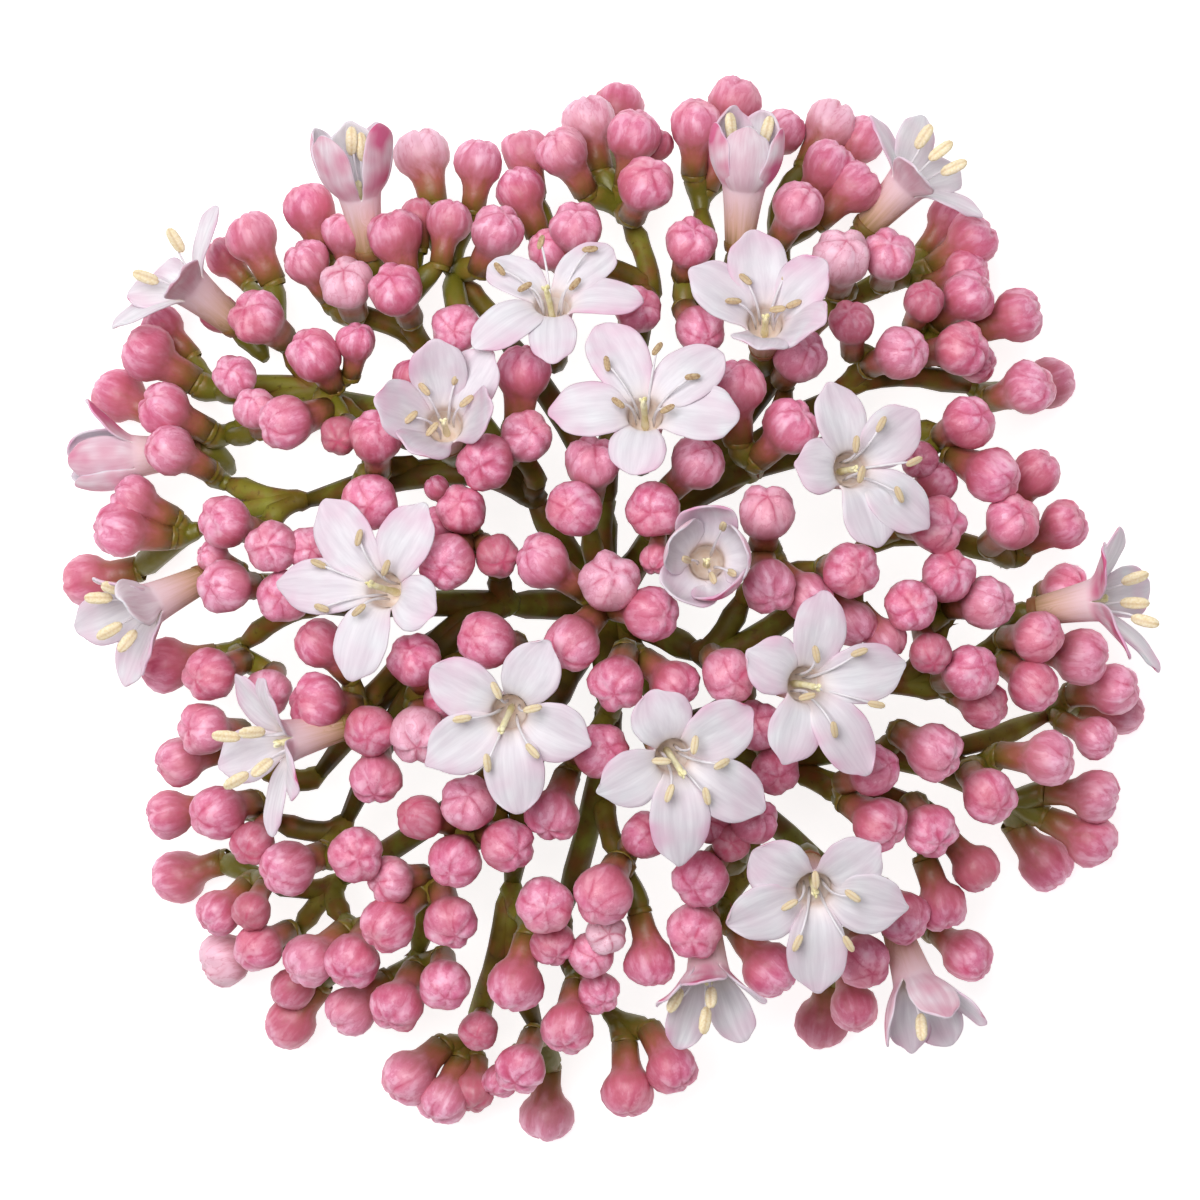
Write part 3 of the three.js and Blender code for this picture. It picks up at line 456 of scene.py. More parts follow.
        ((256, 764, 5.6), [(203, 730, 27, 0.4), (178, 762, 25, 1.4)]),
    ]),
}

for ray, seat, _ in SPRAYS.values():
    start = on_head(RAYS[ray], RAYS[ray][2])
    end = on_head(seat, seat[2])
    before = start + (start - hub).normalized() * (end - start).length * 0.35
    lay(rays, SHOOT, bent(start, before, end, BRANCH_WIDTHS))
set_down(rays, "rays_and_stalk", [ray_rind], "rays")

# Closed buds: firm waxy balls of five folded petals that meet in a star, on a short tube and a
# thick stalk with a low collar of five calyx teeth. The pink turns brown and olive down the neck.
# Six forms are modelled, and each is copied, turned and stretched.
PETALS = 5
BUD_SEGMENTS = 20
BUD_RINGS = 9
BUD_TWIST = 0.32
BUD_CUT = 0.8
TUBE_END = 1.9
BUD_LEAN = 0.75
BUD_ON_FLOOR = 1.04
BUD_WARP = 0.1
COMMON_BUD = 1.4 * MM
LONGEST_TUBE = 0.62
NECK_WIDTHS = [0.5, 0.47, 0.54, 0.66, 0.7, 0.68]
SPRAY_WIDTHS = [0.66, 0.55, 0.52, 0.53, 0.67]
COLLAR_DROP = 0.3
COLLAR_RADIUS = 0.655 * MM
COLLAR_HEIGHT = 0.3 * MM
BRACTS = 2
# Vector noise, which dents the buds, takes a new seed from the clock each run unless it is set
noise.seed_set(1)


def cut_open(gone):
    """Opens the new ball for editing, less the corners at the heights that gone picks."""
    ball = bpy.context.object.data
    for piece in [*ball.edges, *ball.polygons]:
        piece.select = False
    for corner in ball.vertices:
        corner.select = gone(corner.co.z)
    bpy.ops.object.mode_set(mode="EDIT")
    bpy.ops.mesh.select_mode(type="VERT")
    bpy.ops.mesh.delete(type="VERT")


def drawn_out(steps):
    """Draws the selected edges on, each step by a height and widened by a share."""
    for rise, widening in steps:
        bpy.ops.mesh.extrude_region_move(TRANSFORM_OT_translate={"value": (0, 0, rise)})
        bpy.ops.transform.resize(value=(widening, widening, 1))


def make_bud(star, tall, flat):
    """One form of bud, of unit radius about its middle: how deep its star is, how tall it stands,
    and how flat its top is."""
    clear_bench()
    bpy.ops.mesh.primitive_uv_sphere_add(segments=BUD_SEGMENTS, ring_count=BUD_RINGS, radius=1)
    cut_open(lambda height: height < -BUD_CUT)
    bpy.ops.mesh.select_non_manifold()
    drawn_out([(-0.22, 0.88), (-0.3, 0.94), (-0.6, 0.96)])
    bpy.ops.mesh.edge_face_add()
    corners, faces = taken_up()
    for corner in corners:
        reach = math.hypot(corner.x, corner.y)
        turn = math.atan2(corner.y, corner.x)
        lobe = abs(math.cos(PETALS / 2 * turn)) ** 0.8 - 0.55
        upper = min(max((corner.z + 0.35) / 0.9, 0), 1)
        swell = 1 + star * lobe * upper * min(reach * 3, 1)
        turn -= BUD_TWIST * (1 - corner.z)
        if corner.z > 0:
            dimple = 0.1 * math.exp(-((reach / 0.28) ** 2))
            crown = star * lobe * min(reach * 2.5, 1) * (1 - reach)
            corner.z = corner.z * (tall - flat * corner.z) - dimple + crown
        corner.x = reach * swell * math.cos(turn)
        corner.y = reach * swell * math.sin(turn)
    return corners, faces


COMMON_FORMS = [
    make_bud(0.12, 1.0, 0.06),
    make_bud(0.17, 1.02, 0.08),
    make_bud(0.14, 1.08, 0.1),
    make_bud(0.2, 0.98, 0.1),
    make_bud(0.09, 1.12, 0.05),
]
PALE_FORM = make_bud(0.25, 1.0, 0.14)


def make_calyx():
    """The collar of five short teeth where the calyx clasps the tube, of unit radius and height."""
    clear_bench()
    bpy.ops.mesh.primitive_circle_add(vertices=2 * PETALS, radius=0.94)
    into_edit_mode()
    drawn_out([(0.5, 1.1), (0.5, 1.02), (0, 0.95), (-0.5, 0.95)])
    corners, faces = taken_up()
    for corner in corners:
        if corner.z > 0.9:
            corner.z += 0.7 * math.cos(PETALS * math.atan2(corner.y, corner.x))
    return corners, faces


CALYX = make_calyx()


def make_bract():
    """A thin pointed scale leaf, of unit length from its foot."""
    clear_bench()
    bpy.ops.mesh.primitive_cone_add(vertices=8, radius1=1, radius2=0, depth=1, location=(0, 0, 0.5))
    into_edit_mode()
    bpy.ops.mesh.subdivide(number_cuts=1)
    bpy.ops.transform.resize(value=(0.24, 0.11, 1), center_override=(0, 0, 0))
    corners, faces = taken_up()
    for corner in corners:
        corner.x *= 1 + 1.3 * math.sin(math.pi * min(corner.z, 1))
        corner.y += 0.25 * corner.z**2
    return corners, faces


BRACT = make_bract()


def turned(middle, axis, spin, radius, height=None, own_shift=0.0, own_scale=1.0):
    """The course of a pattern that stands at middle along axis, turned by spin."""
    turn = axis.to_track_quat("Z", "Y").to_matrix() @ Matrix.Rotation(spin, 3, "Z")
    height = radius if height is None else height

    def course(corner):
        place = middle + turn @ Vector((corner.x * radius, corner.y * radius, corner.z * height))
        return place, (corner.x, corner.y, own_shift + corner.z * own_scale)

    return course


def bud_skin():
    """Petal skin of a closed bud: waxy, mottled by a faint bloom, with fine veins, and with painted shade
    on its lower sides and in its folds. Own place is in bud radii from the middle, so that the pink can
    turn to brown and olive down the stalk."""
    finish, add, here = new_finish("waxy_pink_bud_skin")
    own = add("Attribute", attribute_name="own").node.outputs["Vector"]
    tint = add("Attribute", attribute_name="tint").node.outputs["Fac"]
    across, forward, height = add("SeparateXYZ", {0: own}).node.outputs
    shift = add("VectorMath", {0: here, "Scale": 1 / (4 * MM)}, operation="SCALE")
    drawn = add("VectorMath", {0: own, 1: (3.0, 3.0, 0.8), 2: shift}, operation="MULTIPLY_ADD")
    streaks = add("TexNoise", {"Vector": drawn, "Scale": 1.0, "Detail": 3.0, "Roughness": 0.5})
    mottle = add("TexNoise", {"Vector": here, "Scale": 1 / (0.4 * MM), "Detail": 3.0, "Roughness": 0.6})
    glow = add("TexNoise", {"Vector": here, "Scale": 1 / (2.5 * MM), "Detail": 1.0})
    both = add("Math", {0: mottle, 1: 0.5, 2: streaks}, operation="MULTIPLY_ADD")
    level = add("MapRange", {"Value": both, "From Min": 0.45, "From Max": 1.05})
    pinks = add(
        "ValToRGB", {"Fac": level},
        stops=[(0.1, "#d86792"), (0.4, "#e487aa"), (0.65, "#eda4c2"), (1, "#f7c4d9")],
    )
    drift = add("Math", {0: streaks, 1: 1.2, 2: height}, operation="MULTIPLY_ADD")
    # In turn: salmon patches, painted shade that deepens and reddens the head towards its lower side, and
    # the tint, which is pale lilac above 0 and dull brown-red below
    head = washed(add, pinks, [
        (glow, 0.48, 0.68, 0.45, "#dc7880"),
        (drift, 1.3, 0.35, 0.72, "#b0455c"),
        (tint, 0.0, 1.0, 0.75, "#f5d3e2"),
        (tint, 0.0, -1.0, 0.8, "#b0606a"),
    ])
    low = add("MapRange", {"Value": drift, "From Min": -1.75, "From Max": 0.65})
    neck = add("ValToRGB", {"Fac": low}, stops=[
        (0.0, "#6c6719"), (0.18, "#7f6427"), (0.36, "#8e5a38"), (0.54, "#a05a4d"),
        (0.76, "#b06266"), (1.0, "#bf6b7b"),
    ])
    up = add("MapRange", {"Value": drift, "From Min": -0.45, "From Max": 0.65})
    skin = add("Mix", {"Factor": up, 6: neck, 7: head}, data_type="RGBA")
    # The folds: painted crease shade, five darker lines that wind from the tip to the bud's middle, where
    # they fade
    turn = add("Math", {0: forward, 1: across}, operation="ARCTAN2")
    unwound = add("Math", {0: height, 1: -BUD_TWIST, 2: turn}, operation="MULTIPLY_ADD")
    per_turn = PETALS / math.tau
    shifted = BUD_TWIST * per_turn - 0.75
    fifths = add("Math", {0: unwound, 1: per_turn, 2: shifted}, operation="MULTIPLY_ADD")
    strayed = add("Math", {0: glow, 1: 1.5, 2: fifths}, operation="MULTIPLY_ADD")
    within = add("Math", {0: strayed}, operation="FRACT")
    off_middle = add("Math", {0: within, 1: 0.5}, operation="SUBTRACT")
    angle = add("Math", {0: off_middle}, operation="ABSOLUTE")
    flat = add("CombineXYZ", {0: across, 1: forward})
    reach = add("VectorMath", {0: flat}, operation="LENGTH")
    apart = add("Math", {0: angle, 1: reach}, operation="MULTIPLY")
    valley = add("MapRange", {"Value": apart, "From Min": 0.17, "From Max": 0.0})
    line = add("Math", {0: valley, 1: 2.6}, operation="POWER")
    top = add("MapRange", {"Value": drift, "From Min": 0.5, "From Max": 1.2, "To Max": 0.85})
    broken = add("MapRange", {"Value": streaks, "From Min": 0.62, "From Max": 0.4, "To Min": 0.4})
    shown = add("Math", {0: top, 1: broken}, operation="MULTIPLY")
    painted_crease_shade = add("Math", {0: line, 1: shown}, operation="MULTIPLY")
    # Veins: a net of fine lines where the streaks cross their middle, a little coarser than real
    off_level = add("Math", {0: streaks, 1: 0.5}, operation="SUBTRACT")
    near = add("Math", {0: off_level}, operation="ABSOLUTE")
    veins = add("MapRange", {"Value": near, "From Min": 0.03, "From Max": 0.0, "To Max": 0.36})
    veined = add("Math", {0: veins, 1: up}, operation="MULTIPLY")
    # The painted crease shade of the folds and the veins darken the skin
    for amount, code in ((painted_crease_shade, "#c2456a"), (veined, "#c24f72")):
        skin = add("Mix", {"Factor": amount, 6: skin, 7: colour(code)}, data_type="RGBA")
    relief = add("Bump", {"Height": mottle, "Strength": 0.5, "Distance": 0.08 * MM})
    return coated(finish, add, {"Base Color": skin, "Normal": relief, "Roughness": 0.44})


pink_skin = bud_skin()
spray_rind = green_rind("green_spray_rind", "#4a3a0c", "#6d5d18", "#87862f", "#834a28")
calyx_rind = green_rind("brown_green_calyx_rind", "#74652a", "#876538", "#925f48", "#844b3a")

# Buds that aren't the common pink, by their place in the picture: pale lilac above 0, dull below
ODD_BUDS = {
    (346, 283): 0.7, (421, 152): 0.8, (589, 118): 0.6, (843, 256): 0.8, (832, 122): 0.7, (221, 962): 0.9,
    (609, 582): 0.5, (419, 735): 0.6, (606, 934): 1.0, (799, 205): 0.2, (766, 512): 0.4,
    (340, 436): -0.9, (252, 843): -0.6, (250, 912): -0.7, (421, 817): -0.7, (418, 214): -0.7,
    (656, 142): -0.6, (217, 312): -0.6, (924, 301): -0.7, (851, 323): -0.6, (930, 653): -0.7,
    (977, 869): -0.6, (478, 1032): -0.7, (473, 1095): -0.9, (731, 842): -0.8, (775, 770): -0.4,
    (855, 1010): -0.4, (824, 1024): -0.3, (292, 990): -0.5, (497, 556): -0.8, (371, 731): -0.4,
}


def grow_bud(cluster, fork, lead, bud):
    """Adds one closed bud with its stalk and calyx, grown from a fork that points along lead."""
    right, down, size, drop = bud
    dice = random.Random(right * 1201 + down)
    middle = on_head((right, down), 0 if drop == REST else drop)
    radius = size * PIXEL
    if drop == REST:
        middle.z = radius * BUD_ON_FLOOR
    far = (middle - fork).length
    bend = fork + lead * far * 0.3 + UP * far * dice.uniform(-0.04, 0.06)
    lean = Vector((middle.x, middle.y, 0)) * (BUD_LEAN / RIM_RADIUS)
    axis = ((middle - bend).normalized() + lean).normalized()
    tube = min(TUBE_END * radius, far * LONGEST_TUBE)
    calyx_at = middle - axis * tube
    tint = ODD_BUDS.get((right, down), dice.uniform(-0.18, 0.22))
    squeeze = (tube / radius - BUD_CUT) / (TUBE_END - BUD_CUT)
    head = turned(middle, axis, dice.uniform(0, math.tau), radius)

    def shortened(corner):
        lower = min(corner.z + BUD_CUT, 0)
        place = head(Vector((corner.x, corner.y, corner.z - lower * (1 - squeeze))))[0]
        return place + noise.noise_vector(place / (1.3 * MM)) * radius * BUD_WARP, corner

    lay(cluster, dice.choice(COMMON_FORMS) if tint < 0.45 else PALE_FORM, shortened, tint, 1)
    share = radius / COMMON_BUD
    low = -TUBE_END - (calyx_at - fork).length / radius
    neck = bent(fork, bend, calyx_at, [width * share for width in NECK_WIDTHS], low, -TUBE_END)
    lay(cluster, SHOOT, neck, tint, 1)
    foot = calyx_at - axis * COLLAR_HEIGHT
    own_foot = -TUBE_END - COLLAR_DROP
    collar = turned(foot, axis, dice.uniform(0, 1), COLLAR_RADIUS * share, COLLAR_HEIGHT, own_foot, 0.2)
    lay(cluster, CALYX, collar, tint, 1)


def grow_spray(name):
    """One spray: its stems from the seat to each fork, and the buds and scale leaves of each fork."""
    ray, seat, forks = SPRAYS[name]
    cluster = new_cluster()
    start = on_head(seat, seat[2])
    origin = on_head(RAYS[ray], RAYS[ray][2])
    for at, buds in forks:
        fork = on_head(at, at[2])
        far = (fork - start).length
        before = start + ((start - origin).normalized() + UP * 0.4).normalized() * far * 0.4
        lay(cluster, SHOOT, bent(start, before, fork, SPRAY_WIDTHS))
        lead = (fork - before).normalized()
        for bud in buds:
            grow_bud(cluster, fork, lead, bud)
        dice = random.Random(at[0] * 7 + at[1])
        for _ in range(BRACTS):
            aim = (lead + Vector([dice.uniform(-0.7, 0.7) for _ in "xyz"])).normalized()
            spin = dice.uniform(0, math.tau)
            leaf = turned(fork + aim * 0.3 * MM, aim, spin, dice.uniform(0.9, 1.5) * MM)
            lay(cluster, BRACT, leaf, 0.0, 2)
    set_down(cluster, "spray_of_buds_" + name, [spray_rind, pink_skin, calyx_rind], "spray_" + name)


for spray_name in SPRAYS:
    grow_spray(spray_name)

# Open flowers: five white petals fused below into one tube, thin and soft, flushed pink outside.
# Each is five sheets of petal, set on the tube and arched to their tips, then joined, given their
# thickness and smoothed.
FRONT_LIFT = 2.0
THROAT_RADIUS = 0.95 * MM
TUBE_LENGTH = 3.2 * MM
TUBE_TAPER = 0.42
PETAL_THICKNESS = 0.16 * MM
PETAL_COLUMNS = 6
TUBE_ROWS = 5
BLADE_ROWS = 11
STALK_SWELLING = [0.5, 0.5, 0.58, 0.68, 0.66, 0.58]

# Each flower: foot on its spray, throat, lift of the throat in mm, half width of a petal, how
# narrow its tips are, petals, anthers, stigma where it shows, and how far its anthers are spent.
# Places and lengths are in pixels of the picture. A flower that looks up has the tilt of its face
# in degrees, the side it leans to, the cup of its petals and their tips; where every tip has its
# own height, that is above the throat. A flower that looks aside has the way it faces, its rise
# in degrees, and petals: each a turn in degrees round the axis from the upper side, how far its
# tip stands forward, how far it stands out, and where they differ how closed it is and how much
# more it is flushed.
FLOWERS = {
    "flower_north": dict(
        foot=(560, 345, 6), throat=(553, 305), tilt=42, lean=(0, 1), width=26, point=0.35, cup=8,
        tips=[(490, 262), (612, 245), (645, 300), (553, 365), (473, 348)],
        anthers=[(541, 243), (500, 270), (590, 250), (525, 288), (575, 285)], stigma=(546, 290), spent=0.9,
    ),
    "flower_north_east": dict(
        foot=(762, 372, 5.6), throat=(765, 322), width=31, lift=1.6,
        tips=[(752, 230, 10), (825, 262, 35), (822, 322, 75), (757, 347, 85), (688, 270, 22)],
        anthers=[(745, 280), (785, 275), (777, 310), (793, 305), (733, 302)], spent=0.7,
    ),
    "flower_crown_north": dict(
        foot=(640, 470, 6), throat=(645, 415), tilt=25, lean=(0, 1), width=31, point=0.35, cup=8,
        tips=[(600, 322), (722, 350), (740, 417), (632, 475), (547, 412)],
        anthers=[(607, 365), (657, 350), (692, 378), (618, 404), (667, 410)], stigma=(643, 402), spent=0.9,
    ),
    "flower_north_west": dict(
        foot=(455, 462, 6), throat=(445, 425), width=31, lift=1,
        tips=[(435, 340, 38), (375, 400, 50), (412, 450, 78), (492, 407, 76), (492, 350, 20)],
        anthers=[(425, 390), (457, 378), (467, 402), (412, 418), (433, 430)], spent=0.6,
    ),
    "flower_west": dict(
        foot=(410, 600, 5.6), throat=(385, 590), tilt=25, lean=(-1, 0.2), width=31, point=0.7, cup=8,
        tips=[(322, 500), (427, 503), (437, 612), (350, 682), (275, 585)],
        anthers=[(360, 538), (387, 568), (320, 564), (323, 608), (360, 610)], stigma=(371, 584), spent=0.6,
    ),
    "flower_east": dict(
        foot=(825, 478, 6), throat=(850, 470), tilt=22, lean=(1, 0.2), width=29, point=0.7, cup=8,
        tips=[(828, 382), (918, 410), (930, 528), (880, 548), (793, 465)],
        anthers=[(880, 425), (855, 445), (913, 462), (860, 475), (898, 495)], spent=0.5,
    ),
    "flower_south_west": dict(
        foot=(525, 690, 5.6), throat=(510, 712), tilt=12, lean=(-0.4, -1), width=32, point=0.95, cup=8,
        tips=[(430, 668), (550, 640), (592, 745), (520, 815), (425, 765)],
        anthers=[(497, 690), (533, 708), (463, 718), (488, 762), (533, 750)], stigma=(502, 729), spent=0.2,
    ),
    "flower_south": dict(
        foot=(662, 735, 5.6), throat=(673, 756), tilt=18, lean=(1, -1), width=32, point=0.95, cup=8,
        tips=[(652, 689), (754, 708), (766, 812), (681, 867), (596, 793)],
        anthers=[(694, 744), (661, 760), (721, 763), (669, 792), (706, 795)], stigma=(682, 773), spent=0.2,
    ),
    "flower_crown_east": dict(
        foot=(785, 680, 5.6), throat=(804, 684), tilt=22, lean=(1, -0.1), width=31, point=0.95, cup=8,
        tips=[(825, 589), (908, 663), (869, 776), (783, 765), (746, 650)],
        anthers=[(815, 654), (858, 652), (875, 704), (833, 729), (806, 696)], stigma=(816, 687), spent=0.5,
    ),
    "flower_south_east": dict(
        foot=(808, 862, 5.6), throat=(814, 889), tilt=24, lean=(0.2, -1), width=33, point=0.95, cup=8,
        tips=[(751, 851), (880, 843), (909, 909), (817, 995), (725, 926)],
        anthers=[(815, 879), (789, 904), (852, 895), (797, 942), (848, 943)], spent=0.3,
    ),
    "flower_crown_half_open": dict(
        foot=(702, 575, 5.4), throat=(706, 562), width=34, lift=1, closing=0.75, faces=(0, 1), rise=85,
        petals=[
            (28, 62, 37, 0.85, 0.2), (100, 66, 38, 0.85, -0.5), (180, 60, 50, 0.6, 0.3),
            (240, 66, 36, 0.85, -0.4), (325, 52, 50, 0.5, 0.3),
        ],
        anthers=[(722, 527, 44), (686, 560, 30), (712, 578, 26), (731, 573, 32)], spent=0.4,
    ),
    "flower_rim_north_west": dict(
        foot=(262, 355, 5), throat=(188, 285), width=27, lift=1.2, faces=(-0.77, 0.64), rise=20,
        petals=[(0, 45, 74, 0, -0.5), (90, 34, 80), (200, 25, 50), (235, 38, 56), (270, 38, 82)],
        anthers=[(174, 239, 20), (144, 276, 10)],
    ),
    "flower_rim_north_east": dict(
        foot=(872, 262, 5.4), throat=(908, 182), width=27, lift=1.2, faces=(0.68, 0.73), rise=18,
        petals=[(0, 42, 72, 0, -0.3), (90, 30, 79), (152, 34, 60), (216, 51, 60), (270, 28, 74)],
        anthers=[(925, 135, 10), (942, 149, 0), (955, 166, 15)],
    ),
    "flower_rim_west": dict(
        foot=(252, 593, 5.7), throat=(150, 604), width=28, lift=1.4, faces=(-0.9, -0.44), rise=25,
        petals=[(12, 57, 62, 0, -1), (75, 52, 49), (170, 62, 62), (235, 50, 75), (285, 50, 62, 0, 0.8)],
        anthers=[(112, 588, 34), (98, 598, 20), (109, 631, 20), (127, 641, 26)],
    ),
    "flower_rim_south_west": dict(
        foot=(352, 712, 5.6), throat=(287, 741), width=29, lift=1.6, faces=(-0.966, -0.26), rise=20,
        petals=[(50, 27, 85), (110, 26, 83), (185, 54, 70), (262, 38, 90), (322, 28, 84)],
        anthers=[(227, 736, 14), (253, 732, 26), (237, 780, 12), (263, 767, 26)],
    ),
    "flower_rim_east": dict(
        foot=(1032, 620, 6), throat=(1096, 600), width=27, lift=1.4, faces=(0.98, 0.19), rise=12,
        petals=[(40, 38, 92, 0, 1), (105, 50, 86), (182, 46, 72), (258, 41, 68), (325, 35, 85, 0, 1)],
        anthers=[(1136, 578, 14), (1136, 603, 0), (1146, 621, 16)],
    ),
    "flower_rim_south": dict(
        foot=(724, 918, 5.8), throat=(708, 972), width=26, lift=0.2, faces=(0.05, -1), rise=25,
        petals=[(6, 44, 70), (65, 45, 56), (145, 62, 60), (212, 57, 62), (292, 47, 61)],
        anthers=[(675, 1000, 20), (711, 997, 30), (705, 1020, 14)],
    ),
    "flower_rim_south_east": dict(
        foot=(902, 912, 6.2), throat=(915, 983), width=27, lift=0.8, closing=0.3,
        faces=(0.32, -0.95), rise=20,
        petals=[(78, 60, 46), (150, 58, 48), (195, 60, 52), (262, 66, 54), (338, 66, 52, 0.3, -0.8)],
        anthers=[(922, 1028, 16)],
    ),
    "half_open_north_west": dict(
        foot=(398, 282, 6.2), throat=(359, 193), width=29, lift=1.6, closing=0.7,
        faces=(-0.155, 1), rise=20,
        petals=[
            (50, 80, 34, 0.7, -0.3), (118, 68, 32), (180, 68, 30, 0.7, -0.8), (245, 70, 36, 0.7, -1),
            (315, 76, 34, 0.7, 0),
        ],
        anthers=[(351, 140, 2), (361, 146, -4)],
    ),
    "half_open_north_east": dict(
        foot=(722, 268, 6.4), throat=(744, 186), width=29, lift=1.6, closing=0.85,
        faces=(0.08, 1), rise=17,
        petals=[
            (0, 70, 24, 0.85, -1.1), (75, 66, 32, 0.85, 0.9), (145, 74, 26), (215, 76, 26),
            (285, 66, 31, 0.85, 0.9),
        ],
        anthers=[(731, 127, 4), (767, 130, 4)],
    ),
    "half_open_west": dict(
        foot=(228, 468, 7), throat=(132, 456), width=27, lift=-1.4, closing=0.9,
        faces=(-1, -0.09), rise=-2,
        petals=[
            (5, 66, 14, 0.9, -0.2), (80, 45, 62, 0.1, 0.2), (150, 68, 20), (215, 66, 22, 0.9, 0.4),
            (290, 62, 22, 0.9, 0.5),
        ],
        anthers=[],
    ),
}


def petal_tissue(name, tones, flush, at_edge, at_middle, strength, tube_tones):
    """Soft petal tissue: a matt sheet with fine veins that run from throat to tip, flushed pink in
    patches. Own place is across, along, and depth in the tube, where the colour is the tube's."""
    finish, add, here = new_finish(name)
    own = add("Attribute", attribute_name="own").node.outputs["Vector"]
    tint = add("Attribute", attribute_name="tint").node.outputs["Fac"]
    across, along, depth = add("SeparateXYZ", {0: own}).node.outputs
    shift = add("VectorMath", {0: here, "Scale": 1 / (6 * MM)}, operation="SCALE")
    drawn = add("VectorMath", {0: own, 1: (4.0, 1.0, 1.0), 2: shift}, operation="MULTIPLY_ADD")
    streaks = add("TexNoise", {"Vector": drawn, "Scale": 1.0, "Detail": 3.0, "Roughness": 0.6})
    sheet = add("ValToRGB", {"Fac": streaks}, stops=tones)
    patches = add("TexNoise", {"Vector": here, "Scale": 1 / (1.4 * MM), "Detail": 1.0})
    # The flush grows towards the edges and the tip, in patches
    edge = add("Math", {0: across, 1: across}, operation="MULTIPLY")
    spread = add("Math", {0: edge, 1: at_edge - at_middle, 2: at_middle}, operation="MULTIPLY_ADD")
    near_tip = add("Math", {0: along, 1: 3.0}, operation="POWER")
    both = add("Math", {0: near_tip, 1: at_edge, 2: spread}, operation="MULTIPLY_ADD")
    uneven = add("MapRange", {"Value": patches, "From Min": 0.25, "From Max": 0.75})
    patchy = add("Math", {0: both, 1: uneven}, operation="MULTIPLY")
    warm = add("Math", {0: tint, 1: 0.7, 2: strength}, operation="MULTIPLY_ADD")
    amount = add("Math", {0: patchy, 1: warm}, operation="MULTIPLY", use_clamp=True)
    flushed = add("Mix", {"Factor": amount, 6: sheet, 7: colour(flush)}, data_type="RGBA")
    uneven_depth = add("Math", {0: streaks, 1: 0.6, 2: depth}, operation="MULTIPLY_ADD")
    down = add("MapRange", {"Value": uneven_depth, "From Min": 0.0, "From Max": 1.3})
    tube = add("ValToRGB", {"Fac": down}, stops=tube_tones)
    deep = add("MapRange", {"Value": depth, "From Min": -0.28, "From Max": 0.12})
    tissue = add("Mix", {"Factor": deep, 6: flushed, 7: tube}, data_type="RGBA")
    relief = add("Bump", {"Height": streaks, "Strength": 0.22, "Distance": 0.1 * MM})
    return coated(finish, add, {
        "Base Color": tissue, "Normal": relief, "Roughness": 0.6, "Specular IOR Level": 0.35,
    })


petal_inside = petal_tissue(
    "white_petal_inside",
    [(0.3, "#d2ced5"), (0.5, "#dddae0"), (0.64, "#e5e3e8")], "#dba2c0", 0.65, 0.14, 0.8,
    [(0.1, "#f1e2de"), (0.4, "#eed9cf"), (0.8, "#e4ccb2")],
)
petal_outside = petal_tissue(
    "pink_petal_outside",
    [(0.3, "#d6c0cb"), (0.5, "#e0d2da"), (0.64, "#e8dfe5")], "#cc5f88", 0.55, 0.95, 0.85,
    [(0.1, "#e6cdd4"), (0.45, "#dfbfc2"), (0.75, "#cba593"), (1.0, "#9a7c48")],
)


def eased(share):
    """A share from 0 to 1 that starts and ends softly."""
    return share * share * (3 - 2 * share)


def outline(along, point):
    """Half width of a petal along its length, as a share of its widest. Its tip is round where point
    is 0 and narrow where it is 1."""
    shoulder, brow, end = 0.98 - 0.08 * point, 0.85 - 0.17 * point, 0.55 - 0.3 * point
    marks = [(0, 0.5), (0.12, 0.6), (0.3, 0.86), (0.52, 1.0), (0.74, shoulder), (0.89, brow), (1, end)]
    for (at, width), (then, wider) in zip(marks, marks[1:]):
        if along <= then:
            return width + (wider - width) * eased((along - at) / (then - at))
    return end


def facing(flower):
    """Foot, throat and axis of a flower on the head, and its petals: each a tip, how closed it is,
    and how much more it is flushed."""
    foot = on_head(flower["foot"], flower["foot"][2])
    throat = on_head(flower["throat"], -flower.get("lift", FRONT_LIFT))
    closing = flower.get("closing", 0)
    petals = []
    if "tilt" in flower:
        tilt = math.radians(flower["tilt"])
        lean = Vector(flower["lean"]).normalized() * math.sin(tilt)
        axis = Vector((lean.x, lean.y, math.cos(tilt)))
    elif "faces" in flower:
        rise = math.radians(flower["rise"])
        axis = Vector((*flower["faces"], 0)).normalized() * math.cos(rise) + UP * math.sin(rise)
        right = axis.cross(UP).normalized()
        upper = right.cross(axis)
        for turn, forward, outward, *more in flower["petals"]:
            turn = math.radians(turn)
            way = upper * math.cos(turn) + right * math.sin(turn)
            closed, flush = more or (closing, 0)
            petals.append((throat + (axis * forward + way * outward) * PIXEL, closed, flush))
    else:
        axis = (throat - foot).normalized()
    for place in flower.get("tips", []):
        tip = on_head(place, 0)
        if "tilt" in flower:
            fall = axis.x * (tip.x - throat.x) + axis.y * (tip.y - throat.y)
            tip.z = throat.z + (flower["cup"] * PIXEL - fall) / axis.z
        else:
            tip.z = throat.z + place[2] * PIXEL
        petals.append((tip, closing, 0))
    return foot, throat, axis, petals


